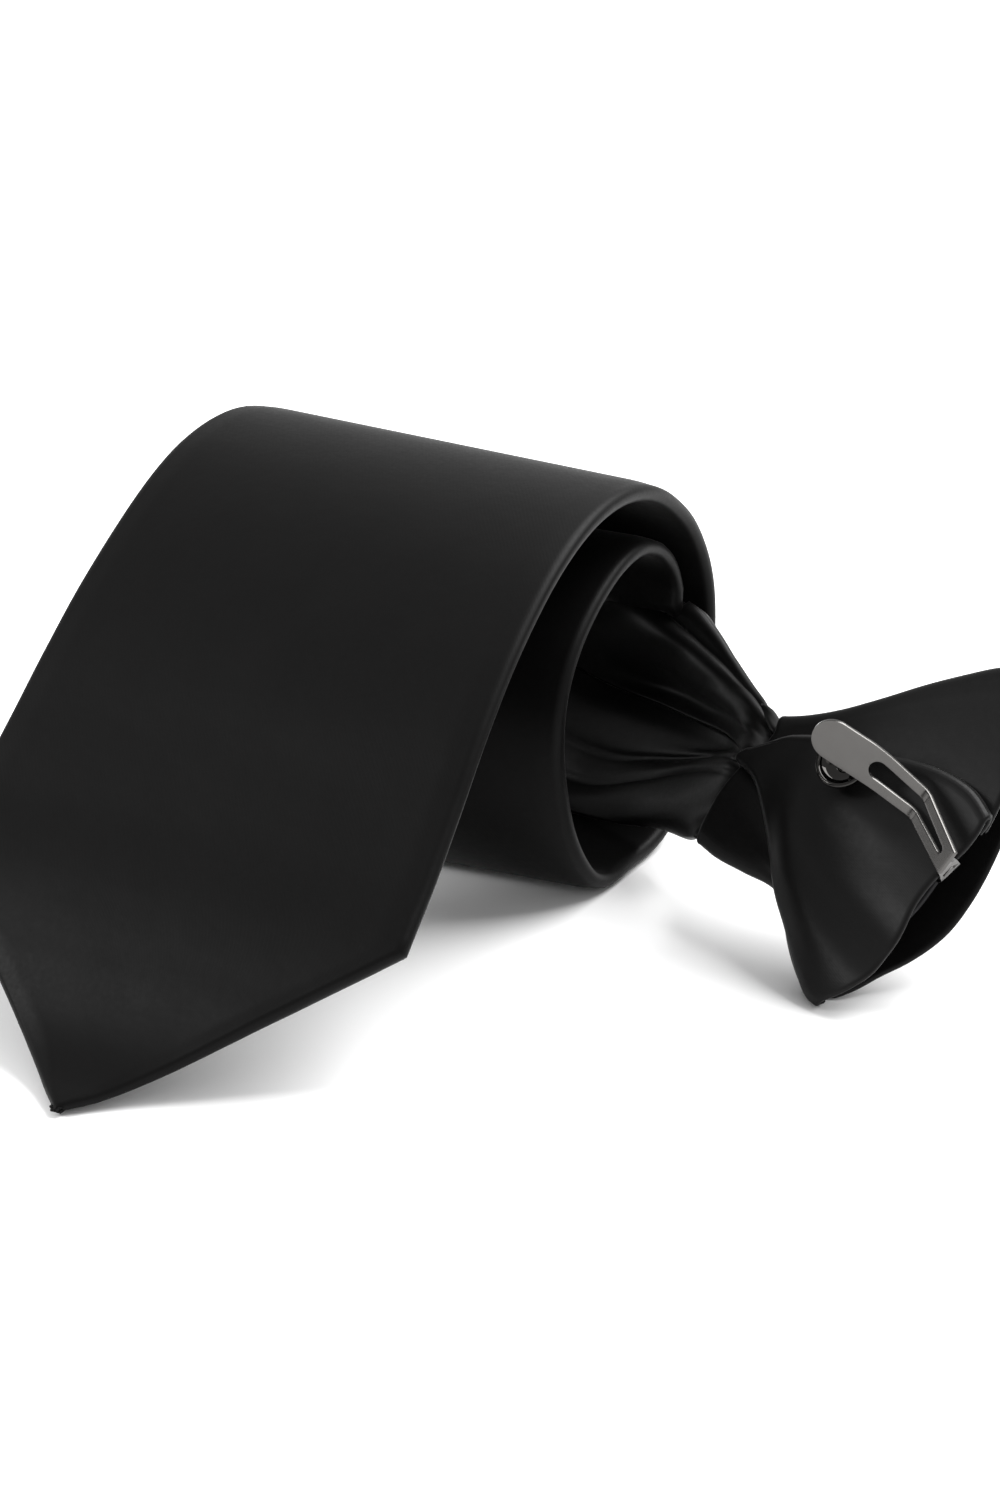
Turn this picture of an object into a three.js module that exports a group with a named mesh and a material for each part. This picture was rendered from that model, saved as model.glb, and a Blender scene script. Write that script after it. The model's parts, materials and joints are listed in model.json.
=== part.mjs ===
// Clip-on necktie rolled for display: a folded satin blade, gathers, a pre-tied knot and a metal collar clip.
// Units are millimetres, +Z is up and the floor is z = 0.
import * as THREE from 'three';

// ---- driving sizes -------------------------------------------------------
const BLADE_THICK = 3.0;
const SATIN = 0.5;
const FOLD_RADIUS = 1.2;
const TIP_LENGTH = 35.6;
const HALF_WIDTHS = [[0, 0], [TIP_LENGTH, 40], [125, 36.8], [215, 34.3], [345, 32.6]];
const SEAM_GAP = 0.8;
const HEM = 14;
const LINING_END = 88;
const ROLL_OUTER = [
  [-109.3, 3.0], [-104, 3.9], [-98, 7.0], [-89.5, 14.2], [-80.7, 22.4], [-72, 29.4], [-63.3, 37.4],
  [-54.0, 46.4], [-43.6, 54.8], [-30.4, 62.6], [-19.1, 66.6], [-9.5, 67.9], [0.0, 67.3], [8.0, 65.3],
  [15.8, 61.7], [23.6, 56.2], [29.5, 49.2], [32.9, 42.1], [34.3, 34], [34.0, 25], [31.2, 14.5],
  [25.5, 6.2], [18.5, 1.3], [12.5, 0.0], [5, 0.0], [-2.5, 0.0], [-7.8, 2.2], [-12.2, 6.6], [-16.4, 13.2],
  [-19.2, 21], [-20.6, 29.5], [-19.4, 38], [-14.8, 45.2], [-7, 51], [2.6, 54.8], [11.2, 55.4],
  [18.6, 52.9], [24.2, 48.2], [27.0, 42.5], [27.9, 36.0],
];
const STEP = 7.2;
const FACE_LIFT = 1.0;
const SIDE_RISE = 2.0;
const BEND_REACH = 31;
const NECK_START = -3.8;
const GATHER_SPAN = [7.4, -12.6];
const NECK_SPAN = [4.2, -9.2];
const GATHER_THICK = 1.1;
const THREAD_RADIUS = 0.2;

const NECK = new THREE.Vector3(58, -4, 27);
const KNOT_UP = new THREE.Vector3(37, -9, -5.4).normalize();
const KNOT_SIDE = new THREE.Vector3(0.257, 0.601, 0.757)
  .addScaledVector(KNOT_UP, -KNOT_UP.dot(new THREE.Vector3(0.257, 0.601, 0.757)))
  .normalize();
const KNOT_BACK = new THREE.Vector3().crossVectors(KNOT_UP, KNOT_SIDE).normalize();
const KNOT_HEIGHT = 39.5;
const NECK_CENTRE = -2.2;
const NECK_HALF = 12.2;
const MOUTH_CENTRE = 3.0;
const MOUTH_HALF = 30.1;
const KNOT_WALL = 1.4;
const FRONT_DEPTH = 10.2;
const FLAP_MID = -0.7;
const BAND_MID = -3.4;
const BAND_END = 8.4;
const FLAP_EDGE = [[0, 6.9], [0.25, 8.6], [0.55, 11.0], [0.8, 12.3], [1, 10.2]];

const CLIP_SIDE = new THREE.Vector3(0.516, -0.033, 0.856).normalize();
const CLIP_ROOT = new THREE.Vector3(96.56, -17.32, 23.55);
const CLIP_BEND = new THREE.Vector3(88.73, -9.39, 28.58);
const CLIP_SLOT = new THREE.Vector3(81.38, -9.3, 33.02);
const CLIP_TIP = new THREE.Vector3(72.06, -11.38, 38.5);
const CLIP_SHEET = 0.7;
const TAB_HALF = 3.45;
const ROOT_HALF = 2.4;
const BUTTON_RADIUS = 3.9;
const BUTTON_HEIGHT = 3.2;
const POST_RADIUS = 0.8;

const group = new THREE.Group();
group.name = 'clip_on_necktie';

// ---- helpers ------------------------------------------------------------
function addMesh(name, geometry, color, metalness, roughness) {
  const material = new THREE.MeshStandardMaterial({ color, metalness, roughness });
  const mesh = new THREE.Mesh(geometry, material);
  mesh.name = name;
  group.add(mesh);
  return mesh;
}

function interpolate(table, s) {
  for (let i = 1; i < table.length; i += 1) {
    if (s <= table[i][0]) {
      const t = (s - table[i - 1][0]) / (table[i][0] - table[i - 1][0]);
      return table[i - 1][1] + t * (table[i][1] - table[i - 1][1]);
    }
  }
  return table[table.length - 1][1];
}

function signedVolume(position, index) {
  const a = new THREE.Vector3();
  const b = new THREE.Vector3();
  const c = new THREE.Vector3();
  let sum = 0;
  for (let i = 0; i < index.length; i += 3) {
    a.fromArray(position, index[i] * 3);
    b.fromArray(position, index[i + 1] * 3);
    c.fromArray(position, index[i + 2] * 3);
    sum += a.dot(b.cross(c)) / 6;
  }
  return sum;
}

function closedGeometry(position, index) {
  if (signedVolume(position, index) < 0) {
    for (let i = 0; i < index.length; i += 3) {
      const keep = index[i + 1];
      index[i + 1] = index[i + 2];
      index[i + 2] = keep;
    }
  }
  const geometry = new THREE.BufferGeometry();
  geometry.setAttribute('position', new THREE.Float32BufferAttribute(position, 3));
  geometry.setIndex(index);
  geometry.computeVertexNormals();
  return geometry;
}

// A closed outline carried along stations; sections are rings of equal length and the ends are capped.
function sweep(rings, outline) {
  const position = [];
  const index = [];
  const n = rings[0].length;
  for (const ring of rings) {
    for (const p of ring) {
      position.push(p.x, p.y, p.z);
    }
  }
  for (let r = 0; r + 1 < rings.length; r += 1) {
    for (let i = 0; i < n; i += 1) {
      const a = r * n + i;
      const b = r * n + (i + 1) % n;
      index.push(a, b, b + n, a, b + n, a + n);
    }
  }
  const caps = THREE.ShapeUtils.triangulateShape(outline, []);
  const flip = THREE.ShapeUtils.area(outline) < 0;
  const last = (rings.length - 1) * n;
  for (const [a, b, c] of caps) {
    if (flip) {
      index.push(a, b, c, last + a, last + c, last + b);
    } else {
      index.push(a, c, b, last + a, last + b, last + c);
    }
  }
  return closedGeometry(position, index);
}

// A sheet of cloth or metal from a grid of mid-surface points, offset both ways; cells named in skip are open.
function sheet(grid, thickness, skip = new Set()) {
  const rows = grid.length;
  const cols = grid[0].length;
  const position = [];
  const index = [];
  const du = new THREE.Vector3();
  const dv = new THREE.Vector3();
  const normals = [];
  for (let r = 0; r < rows; r += 1) {
    for (let c = 0; c < cols; c += 1) {
      const left = grid[r][Math.max(c - 1, 0)];
      const right = grid[r][Math.min(c + 1, cols - 1)];
      const below = grid[Math.max(r - 1, 0)][c];
      const above = grid[Math.min(r + 1, rows - 1)][c];
      du.subVectors(right, left);
      dv.subVectors(above, below);
      normals.push(new THREE.Vector3().crossVectors(du, dv).normalize());
    }
  }
  for (const side of [0.5, -0.5]) {
    for (let r = 0; r < rows; r += 1) {
      for (let c = 0; c < cols; c += 1) {
        const p = grid[r][c].clone().addScaledVector(normals[r * cols + c], side * thickness);
        position.push(p.x, p.y, p.z);
      }
    }
  }
  const half = rows * cols;
  const solid = (r, c) => r >= 0 && c >= 0 && r < rows - 1 && c < cols - 1 && !skip.has(`${r},${c}`);
  for (let r = 0; r + 1 < rows; r += 1) {
    for (let c = 0; c + 1 < cols; c += 1) {
      if (!solid(r, c)) {
        continue;
      }
      const a = r * cols + c;
      const b = a + 1;
      const d = a + cols;
      const e = d + 1;
      index.push(a, b, e, a, e, d);
      index.push(half + a, half + e, half + b, half + a, half + d, half + e);
      const walls = [
        [solid(r - 1, c), b, a],
        [solid(r + 1, c), d, e],
        [solid(r, c - 1), a, d],
        [solid(r, c + 1), e, b],
      ];
      for (const [joined, p, q] of walls) {
        if (!joined) {
          index.push(p, q, half + q, p, half + q, half + p);
        }
      }
    }
  }
  return closedGeometry(position, index);
}

function rod(points, radius, sides, normal) {
  const outline = [];
  for (let i = 0; i < sides; i += 1) {
    const t = (i / sides) * Math.PI * 2;
    outline.push(new THREE.Vector2(Math.cos(t) * radius, Math.sin(t) * radius));
  }
  const rings = points.map((p, i) => {
    const back = points[Math.max(i - 1, 0)];
    const ahead = points[Math.min(i + 1, points.length - 1)];
    const along = new THREE.Vector3().subVectors(ahead, back).normalize();
    const side = new THREE.Vector3().crossVectors(normal, along).normalize();
    const up = new THREE.Vector3().crossVectors(along, side).normalize();
    return outline.map((o) => p.clone().addScaledVector(side, o.x).addScaledVector(up, o.y));
  });
  return sweep(rings, outline);
}

function turned(profile, sides, centre, axis) {
  const points = profile.map(([r, h]) => new THREE.Vector2(r, h));
  const start = new THREE.Vector3(0, 1, 0);
  const turn = new THREE.Quaternion().setFromUnitVectors(start, axis);
  const position = [];
  const index = [];
  const n = points.length;
  for (let i = 0; i < sides; i += 1) {
    const t = (i / sides) * Math.PI * 2;
    for (const q of points) {
      const p = new THREE.Vector3(q.x * Math.cos(t), q.y, q.x * Math.sin(t));
      p.applyQuaternion(turn).add(centre);
      position.push(p.x, p.y, p.z);
    }
  }
  for (let i = 0; i < sides; i += 1) {
    const a = i * n;
    const b = ((i + 1) % sides) * n;
    for (let j = 0; j < n; j += 1) {
      const k = (j + 1) % n;
      index.push(a + j, a + k, b + k, a + j, b + k, b + j);
    }
  }
  return closedGeometry(position, index);
}

// A solid round body through rings of (radius, height), closed by points at height 0 and high.
function spindle(rings, high, sides, centre, axis) {
  const turn = new THREE.Quaternion().setFromUnitVectors(new THREE.Vector3(0, 1, 0), axis);
  const position = [];
  const index = [];
  const place = (x, y, z) => {
    const p = new THREE.Vector3(x, y, z).applyQuaternion(turn).add(centre);
    position.push(p.x, p.y, p.z);
  };
  rings.forEach(([radius, height]) => {
    for (let i = 0; i < sides; i += 1) {
      const t = (i / sides) * Math.PI * 2;
      place(radius * Math.cos(t), height, radius * Math.sin(t));
    }
  });
  place(0, 0, 0);
  place(0, high, 0);
  const bottom = rings.length * sides;
  for (let i = 0; i < sides; i += 1) {
    const j = (i + 1) % sides;
    for (let r = 0; r + 1 < rings.length; r += 1) {
      const a = r * sides;
      const b = a + sides;
      index.push(a + i, b + i, b + j, a + i, b + j, a + j);
    }
    index.push(bottom, i, j);
    const top = (rings.length - 1) * sides;
    index.push(bottom + 1, top + j, top + i);
  }
  return closedGeometry(position, index);
}

// ---- rolled blade ---------------------------------------------------------
const rollCurve = new THREE.CatmullRomCurve3(
  ROLL_OUTER.map(([y, z]) => new THREE.Vector3(0, y, z)),
  false,
  'centripetal',
);
rollCurve.arcLengthDivisions = 1200;
const ROLL_LENGTH = rollCurve.getLength();

function rollFrame(s) {
  const t = Math.min(Math.max(s / ROLL_LENGTH, 0), 1);
  const p = rollCurve.getPointAt(t);
  const along = rollCurve.getTangentAt(t);
  const out = new THREE.Vector3(0, -along.z, along.y).normalize();
  return { p, out };
}

function smooth(t) {
  const x = Math.min(Math.max(t, 0), 1);
  return x * x * (3 - 2 * x);
}

// The face stands a little proud of the fold line over the arch, and the open side of the arch sits higher.
function archRise(s, across) {
  const lift = FACE_LIFT * smooth((s - 5) / 25) * (1 - smooth((s - 165) / 30));
  const open = Math.min(Math.max((34 - across) / 70, 0), 1);
  const side = SIDE_RISE * open * smooth((s - 15) / 50) * (1 - smooth((s - 110) / 80));
  return { lift, side };
}

function bladePoint(s, across, depth) {
  const { p, out } = rollFrame(s);
  const { lift, side } = archRise(s, across);
  const d = depth + lift;
  const q = new THREE.Vector3(across, p.y + out.y * d, p.z + out.z * d + side);
  if (q.z < 0.12) {
    q.z = 0;
  }
  return q;
}

function halfWidth(s) {
  return interpolate(HALF_WIDTHS, s);
}

function seamHalfGap(s) {
  const wide = TIP_LENGTH - HEM;
  const opening = [[0, 0.4], [HEM, 0.4], [TIP_LENGTH, wide], [LINING_END + 4, SEAM_GAP / 2]];
  return interpolate(opening, s);
}

function shellOutline(s) {
  const h = halfWidth(s);
  const r = Math.min(FOLD_RADIUS, h * 0.45);
  const g = Math.min(seamHalfGap(s), h * 0.3 + Math.max(0, s - HEM) * 0.7);
  const back = -BLADE_THICK;
  const outer = [
    [-g, back], [-h + r, back], [-h + 0.3 * r, back + 0.45], [-h, back / 2], [-h + 0.3 * r, -0.45], [-h + r, 0],
    [-h / 2, 0], [0, 0], [h / 2, 0],
    [h - r, 0], [h - 0.3 * r, -0.45], [h, back / 2], [h - 0.3 * r, back + 0.45], [h - r, back], [g, back],
  ];
  const inner = [
    [g, back + SATIN], [h - r - 0.2, back + SATIN], [h - SATIN * Math.min(1, r), back / 2], [h - r - 0.2, -SATIN],
    [0, -SATIN],
    [-h + r + 0.2, -SATIN], [-h + SATIN * Math.min(1, r), back / 2], [-h + r + 0.2, back + SATIN],
    [-g, back + SATIN],
  ];
  return outer.concat(inner);
}

function stations(from, to, step) {
  const n = Math.max(2, Math.round((to - from) / step));
  return Array.from({ length: n + 1 }, (_, i) => from + ((to - from) * i) / n);
}

const shellStations = [3, 7, HEM, 21, 28].concat(stations(TIP_LENGTH, ROLL_LENGTH, STEP));
const shellRings = shellStations.map((s) => shellOutline(s).map(([a, b]) => bladePoint(s, a, b)));
const shellCap = shellOutline(shellStations[0]).map(([a, b]) => new THREE.Vector2(a, b));
addMesh('blade_shell', sweep(shellRings, shellCap), 0x1d1c1d, 0, 0.45);

function shellStationsBetween(from, to) {
  return shellStations.filter((s) => s >= from && s <= to);
}

function flatStrip(from, to, width, top, bottom) {
  const rings = shellStationsBetween(from, to).map((s) => {
    const w = width(s);
    return [[-w, top], [0, top], [w, top], [w, bottom], [0, bottom], [-w, bottom]]
      .map(([a, b]) => bladePoint(s, a, b));
  });
  const outline = [[-1, top], [0, top], [1, top], [1, bottom], [0, bottom], [-1, bottom]]
    .map(([a, b]) => new THREE.Vector2(a, b));
  return sweep(rings, outline);
}

addMesh(
  'blade_interlining',
  flatStrip(HEM, ROLL_LENGTH - 3, (s) => halfWidth(s) - 2.4, -0.75, -1.75),
  0xcfc8b8,
  0,
  0.95,
);
addMesh(
  'tip_lining',
  flatStrip(HEM, LINING_END, (s) => Math.min(halfWidth(s) - 2.6, seamHalfGap(s) + 4), -2.0, -2.3),
  0x151516,
  0,
  0.5,
);

const seamPoints = [];
shellStationsBetween(LINING_END + 10, ROLL_LENGTH - 8).forEach((s, i) => {
  seamPoints.push(bladePoint(s, i % 2 === 0 ? -0.9 : 0.9, -BLADE_THICK - 0.7));
});
addMesh('seam_thread', rod(seamPoints, THREAD_RADIUS, 4, new THREE.Vector3(1, 0, 0.01)), 0x222224, 0, 0.7);

const tackPoints = [-3.2, -1.6, 0, 1.6, 3.2].map((a) => bladePoint(LINING_END + 6, a, -BLADE_THICK - 0.75));
addMesh('bar_tack', rod(tackPoints, 0.45, 6, new THREE.Vector3(0, 0.3, 1)), 0x202022, 0, 0.7);

// ---- knot frame --------------------------------------------------------
function knotPoint(k, w, h) {
  return NECK.clone()
    .addScaledVector(KNOT_UP, k)
    .addScaledVector(KNOT_SIDE, w)
    .addScaledVector(KNOT_BACK, h);
}

// ---- gathers -------------------------------------------------------------
const FIBRES = 30;
const GATHER_STEPS = 12;
const PLEATS = 5;
const NECK_ROWS = [3.5, 8.5];
const gatherGrid = [];
for (let r = 0; r <= GATHER_STEPS + NECK_ROWS.length; r += 1) {
  const v = Math.min(r / GATHER_STEPS, 1);
  const inNeck = NECK_ROWS[r - GATHER_STEPS - 1] || 0;
  const [right, left] = inNeck > 0 ? NECK_SPAN : GATHER_SPAN;
  const row = [];
  for (let c = 0; c <= FIBRES; c += 1) {
    const t = c / FIBRES;
    const start = bladePoint(ROLL_LENGTH, BEND_REACH * (1 - 2 * t), -BLADE_THICK / 2);
    start.z -= 1.1;
    const wave = Math.cos(2 * Math.PI * PLEATS * t);
    const end = knotPoint(NECK_START, right + (left - right) * t, -5.5 + 0.6 * wave);
    const pull = 8 + 100 * smooth(t * 1.3);
    const lead = 16 + 44 * t;
    const startTangent = new THREE.Vector3(0.1, -0.42 * t, -1).multiplyScalar(pull);
    const endTangent = KNOT_UP.clone().multiplyScalar(lead);
    const v2 = v * v;
    const v3 = v2 * v;
    const p = new THREE.Vector3()
      .addScaledVector(start, 2 * v3 - 3 * v2 + 1)
      .addScaledVector(startTangent, v3 - 2 * v2 + v)
      .addScaledVector(end, -2 * v3 + 3 * v2)
      .addScaledVector(endTangent, v3 - v2);
    const swell = 2.2 * Math.sin(Math.PI * v) * wave * smooth(v * 3);
    p.addScaledVector(KNOT_BACK, swell);
    p.addScaledVector(KNOT_UP, inNeck);
    row.push(p);
  }
  gatherGrid.push(row);
}
addMesh('neck_gathers', sheet(gatherGrid, GATHER_THICK), 0x1a191a, 0, 0.45);

const wrapPoints = [];
for (let i = 0; i <= 26; i += 1) {
  const t = (i / 27) * Math.PI * 2;
  const across = Math.sign(Math.cos(t)) * Math.sqrt(Math.abs(Math.cos(t)));
  const sine = Math.sin(t);
  const deep = sine > 0 ? 2.6 * Math.sqrt(sine) : 2.3 * sine;
  wrapPoints.push(knotPoint(3.6, -2.4 + 8.3 * across, -5.25 + deep));
}
addMesh('gather_thread', rod(wrapPoints, THREAD_RADIUS, 4, KNOT_UP), 0x222224, 0, 0.7);

// ---- knot wrap ---------------------------------------------------------
function knotSpan(v) {
  const left = NECK_CENTRE - NECK_HALF;
  const right = NECK_CENTRE + NECK_HALF;
  const flare = smooth((v - 0.28) / 0.85);
  return [
    left + (MOUTH_CENTRE - MOUTH_HALF - left) * flare * 0.97,
    right + (MOUTH_CENTRE + MOUTH_HALF - right) * (0.86 * v + 0.14 * v * v),
  ];
}

function frontDepth(v) {
  return FRONT_DEPTH + 0.4 * v;
}

function wrapPath(v) {
  const [left, right] = knotSpan(v);
  const mid = (left + right) / 2;
  const half = (right - left) / 2;
  const flapEdge = interpolate(FLAP_EDGE, v);
  const points = [];
  const addBack = (from, to, n, h) => {
    for (let i = 0; i < n; i += 1) {
      points.push([from + ((to - from) * i) / (n - 1), h]);
    }
  };
  addBack(flapEdge, left + 3.2, 13, FLAP_MID);
  const depth = frontDepth(v);
  points.push([left + 1.2, -1.3], [left + 0.3, -2.6], [left + 0.5, -3.9]);
  const n = 16;
  for (let i = 1; i < n; i += 1) {
    const x = -1 + (2 * i) / n;
    const bow = 1 - Math.pow(Math.abs(x), 2.4);
    points.push([mid + half * 0.97 * x, -4.2 - (depth - 4.2) * bow]);
  }
  points.push([right - 0.5, -4.9], [right - 0.2, -4.1], [right - 1.2, BAND_MID]);
  const bandFrom = right - 3.2;
  const bandEnd = Math.min(BAND_END, flapEdge - 1.2, bandFrom - 0.6);
  for (let i = 0; i < 6; i += 1) {
    points.push([bandFrom + ((bandEnd - bandFrom) * i) / 5, BAND_MID]);
  }
  return points;
}

function mouthHeight(w, h) {
  const x = (w - MOUTH_CENTRE) / MOUTH_HALF;
  const arch = KNOT_HEIGHT - 8.2 * x * x;
  return arch + (h < -4 ? 0.12 * (-h - 4) : 0);
}

const WRAP_ROWS = 9;
const wrapGrid = [];
for (let r = 0; r <= WRAP_ROWS; r += 1) {
  const v = r / WRAP_ROWS;
  wrapGrid.push(wrapPath(v).map(([w, h]) => {
    const top = mouthHeight(w, h);
    return knotPoint(-3 + (top + 3) * v, w, h);
  }));
}
const HOLE_ROW = 4;
const HOLE_COL = 2;
addMesh('knot_wrap', sheet(wrapGrid, KNOT_WALL, new Set([`${HOLE_ROW},${HOLE_COL}`])), 0x1d1c1d, 0, 0.45);

const rivet = new THREE.Vector3();
[[0, 0], [0, 1], [1, 0], [1, 1]].forEach(([i, j]) => {
  rivet.addScaledVector(wrapGrid[HOLE_ROW + i][HOLE_COL + j], 0.25);
});

function frontSheet(offset, reach, from, to, rows, cols) {
  const grid = [];
  for (let r = 0; r <= rows; r += 1) {
    const v = from + ((to - from) * r) / rows;
    const [left, right] = knotSpan(v);
    const mid = (left + right) / 2;
    const half = (right - left) / 2;
    const depth = frontDepth(v);
    const row = [];
    for (let c = 0; c <= cols; c += 1) {
      const x = reach * (-1 + (2 * c) / cols);
      const bow = 1 - Math.pow(Math.abs(x), 2.4);
      const h = -4.2 - (depth - 4.2) * bow;
      const w = mid + half * 0.97 * x;
      row.push(knotPoint(-3 + (mouthHeight(w, h) + 3) * v, w, h + offset));
    }
    grid.push(row);
  }
  return grid;
}

addMesh('knot_interlining', sheet(frontSheet(1.5, 0.72, 0.22, 0.93, 6, 12), 0.7), 0xd6d0c2, 0, 0.95);
addMesh('knot_former', sheet(frontSheet(2.7, 0.62, 0.28, 0.88, 6, 12), 0.9), 0x2a2b2e, 0, 0.5);

const flapStitches = [];
for (let i = 0; i <= 14; i += 1) {
  const v = 0.3 + (0.55 * i) / 14;
  const w = interpolate(FLAP_EDGE, v);
  const k = -3 + (mouthHeight(w, 0) + 3) * v;
  flapStitches.push(knotPoint(k, w + (i % 2 === 0 ? 1.05 : 1.35), -1.4));
}
addMesh('flap_stitches', rod(flapStitches, THREAD_RADIUS, 4, KNOT_BACK), 0x222224, 0, 0.7);

// ---- collar clip ---------------------------------------------------------
const clipKnots = [
  [CLIP_ROOT, ROOT_HALF, 0],
  [CLIP_ROOT.clone().lerp(CLIP_BEND, 0.16), 2.45, 0],
  [CLIP_ROOT.clone().lerp(CLIP_BEND, 0.2), 2.45, 0.62],
  [CLIP_ROOT.clone().lerp(CLIP_BEND, 0.55), 2.65, 0.9],
  [CLIP_ROOT.clone().lerp(CLIP_BEND, 0.88), 2.8, 1.15],
  [CLIP_BEND.clone().lerp(CLIP_ROOT, 0.04).addScaledVector(KNOT_BACK, 0.35), 2.85, 1.2],
  [CLIP_BEND.clone().lerp(CLIP_SLOT, 0.14), 2.95, 1.3],
  [CLIP_BEND.clone().lerp(CLIP_SLOT, 0.5), 3.1, 1.5],
  [CLIP_BEND.clone().lerp(CLIP_SLOT, 0.8), 3.25, 1.6],
  [CLIP_BEND.clone().lerp(CLIP_SLOT, 0.95), 3.35, 1.3],
  [CLIP_SLOT.clone().lerp(CLIP_TIP, 0.02), 3.38, 0.7],
  [CLIP_SLOT.clone().lerp(CLIP_TIP, 0.16), TAB_HALF, 0],
  [CLIP_SLOT.clone().lerp(CLIP_TIP, 0.4), TAB_HALF, 0],
  [CLIP_SLOT.clone().lerp(CLIP_TIP, 0.68), TAB_HALF, 0],
  [CLIP_SLOT.clone().lerp(CLIP_TIP, 0.8), TAB_HALF * 0.93, 0],
  [CLIP_SLOT.clone().lerp(CLIP_TIP, 0.9), TAB_HALF * 0.76, 0],
  [CLIP_SLOT.clone().lerp(CLIP_TIP, 0.97), TAB_HALF * 0.46, 0],
  [CLIP_TIP, TAB_HALF * 0.2, 0],
];
const clipGrid = clipKnots.map(([p, half, slot]) => {
  const s = slot > 0 ? slot : half * 0.3;
  return [-half, -s, s, half].map((a) => p.clone().addScaledVector(CLIP_SIDE, a));
});
const slotCells = new Set();
for (let r = 2; r < 10; r += 1) {
  slotCells.add(`${r},1`);
}
addMesh('clip_arm', sheet(clipGrid, CLIP_SHEET, slotCells), 0x5b5856, 0.9, 0.3);

const legEnd = rivet.clone().addScaledVector(KNOT_BACK, -1.5);
const legStart = knotPoint(mouthHeight(-0.7, 0) - 1.0, -0.9, FLAP_MID - 1.5);
const hairpin = [
  [knotPoint(41.6, -1.4, 3.2), CLIP_SIDE, 2.3],
  [knotPoint(41.9, -1.5, 1.5), CLIP_SIDE.clone().lerp(KNOT_SIDE, 0.4).normalize(), 2.3],
  [knotPoint(41.4, -1.4, -0.6), CLIP_SIDE.clone().lerp(KNOT_SIDE, 0.8).normalize(), 2.3],
  [knotPoint(40.2, -1.2, -2.0), KNOT_SIDE, 2.3],
  [legStart, KNOT_SIDE, 2.3],
];
const legAlong = new THREE.Vector3().subVectors(legEnd, legStart);
const legSide = new THREE.Vector3().crossVectors(KNOT_BACK, legAlong.clone().normalize()).negate().normalize();
const HOLE_HALF = 1.2;
const legLength = legAlong.length();
const legDirection = legAlong.clone().normalize();
[0.45, (legLength - HOLE_HALF) / legLength, (legLength + HOLE_HALF) / legLength, (legLength + 3) / legLength]
  .forEach((t) => {
    hairpin.push([legStart.clone().addScaledVector(legDirection, t * legLength), legSide, 2.5]);
  });
const legGrid = hairpin.map(([p, side, half]) => {
  const s = side.dot(KNOT_SIDE) < 0 ? side.clone().negate() : side;
  return [-half, -HOLE_HALF, HOLE_HALF, half].map((a) => p.clone().addScaledVector(s, a));
});
addMesh('clip_inner_leg', sheet(legGrid, 0.6, new Set([`${legGrid.length - 3},1`])), 0x5b5856, 0.9, 0.35);

const wallTop = rivet.clone().addScaledVector(KNOT_BACK, KNOT_WALL / 2 + 0.3);
addMesh(
  'clip_button',
  turned(
    [
      [POST_RADIUS + 0.12, 0], [2.3, 0], [2.5, 1.0], [BUTTON_RADIUS - 0.15, 1.9], [BUTTON_RADIUS, 2.6],
      [BUTTON_RADIUS - 0.25, BUTTON_HEIGHT], [BUTTON_RADIUS - 0.8, BUTTON_HEIGHT - 0.1], [2.7, 2.2],
      [1.6, 1.5], [POST_RADIUS + 0.12, 1.35],
    ],
    20,
    wallTop,
    KNOT_BACK,
  ),
  0x2c2b2c,
  0.95,
  0.12,
);
const washerBase = rivet.clone().addScaledVector(KNOT_BACK, -1.5 - 0.3 - 0.3 - 0.4);
addMesh(
  'rivet_washer',
  turned([[POST_RADIUS + 0.12, 0], [2.2, 0], [2.2, 0.4], [POST_RADIUS + 0.12, 0.4]], 16, washerBase, KNOT_BACK),
  0x8d8a86,
  0.9,
  0.35,
);
const postBase = washerBase.clone().addScaledVector(KNOT_BACK, -0.7);
const postLength = wallTop.clone().sub(postBase).length() + 1.75;
const postRings = [
  [1.5, 0], [1.5, 0.4], [POST_RADIUS, 0.4], [POST_RADIUS, postLength - 0.45], [1.3, postLength - 0.05],
  [0.9, postLength + 0.2],
];
addMesh(
  'rivet_post',
  spindle(postRings, postLength + 0.25, 14, postBase, KNOT_BACK),
  0x7a7774,
  0.95,
  0.2,
);

// ---- common origin: middle of the footprint, on the floor -----------------
group.updateMatrixWorld(true);
const bounds = new THREE.Box3().setFromObject(group, true);
const shift = new THREE.Vector3(
  -(bounds.min.x + bounds.max.x) / 2,
  -(bounds.min.y + bounds.max.y) / 2,
  -bounds.min.z,
);
for (const mesh of group.children) {
  mesh.geometry.translate(shift.x, shift.y, shift.z);
}

export default group;
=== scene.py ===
"""Looks of the rolled clip-on necktie: satin blade, pleated neck, pre-tied knot and black-nickel collar clip.

All geometry is worked out in millimetres in the frame of the CAD model and written to Blender in metres.
"""

import json
import math

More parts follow.
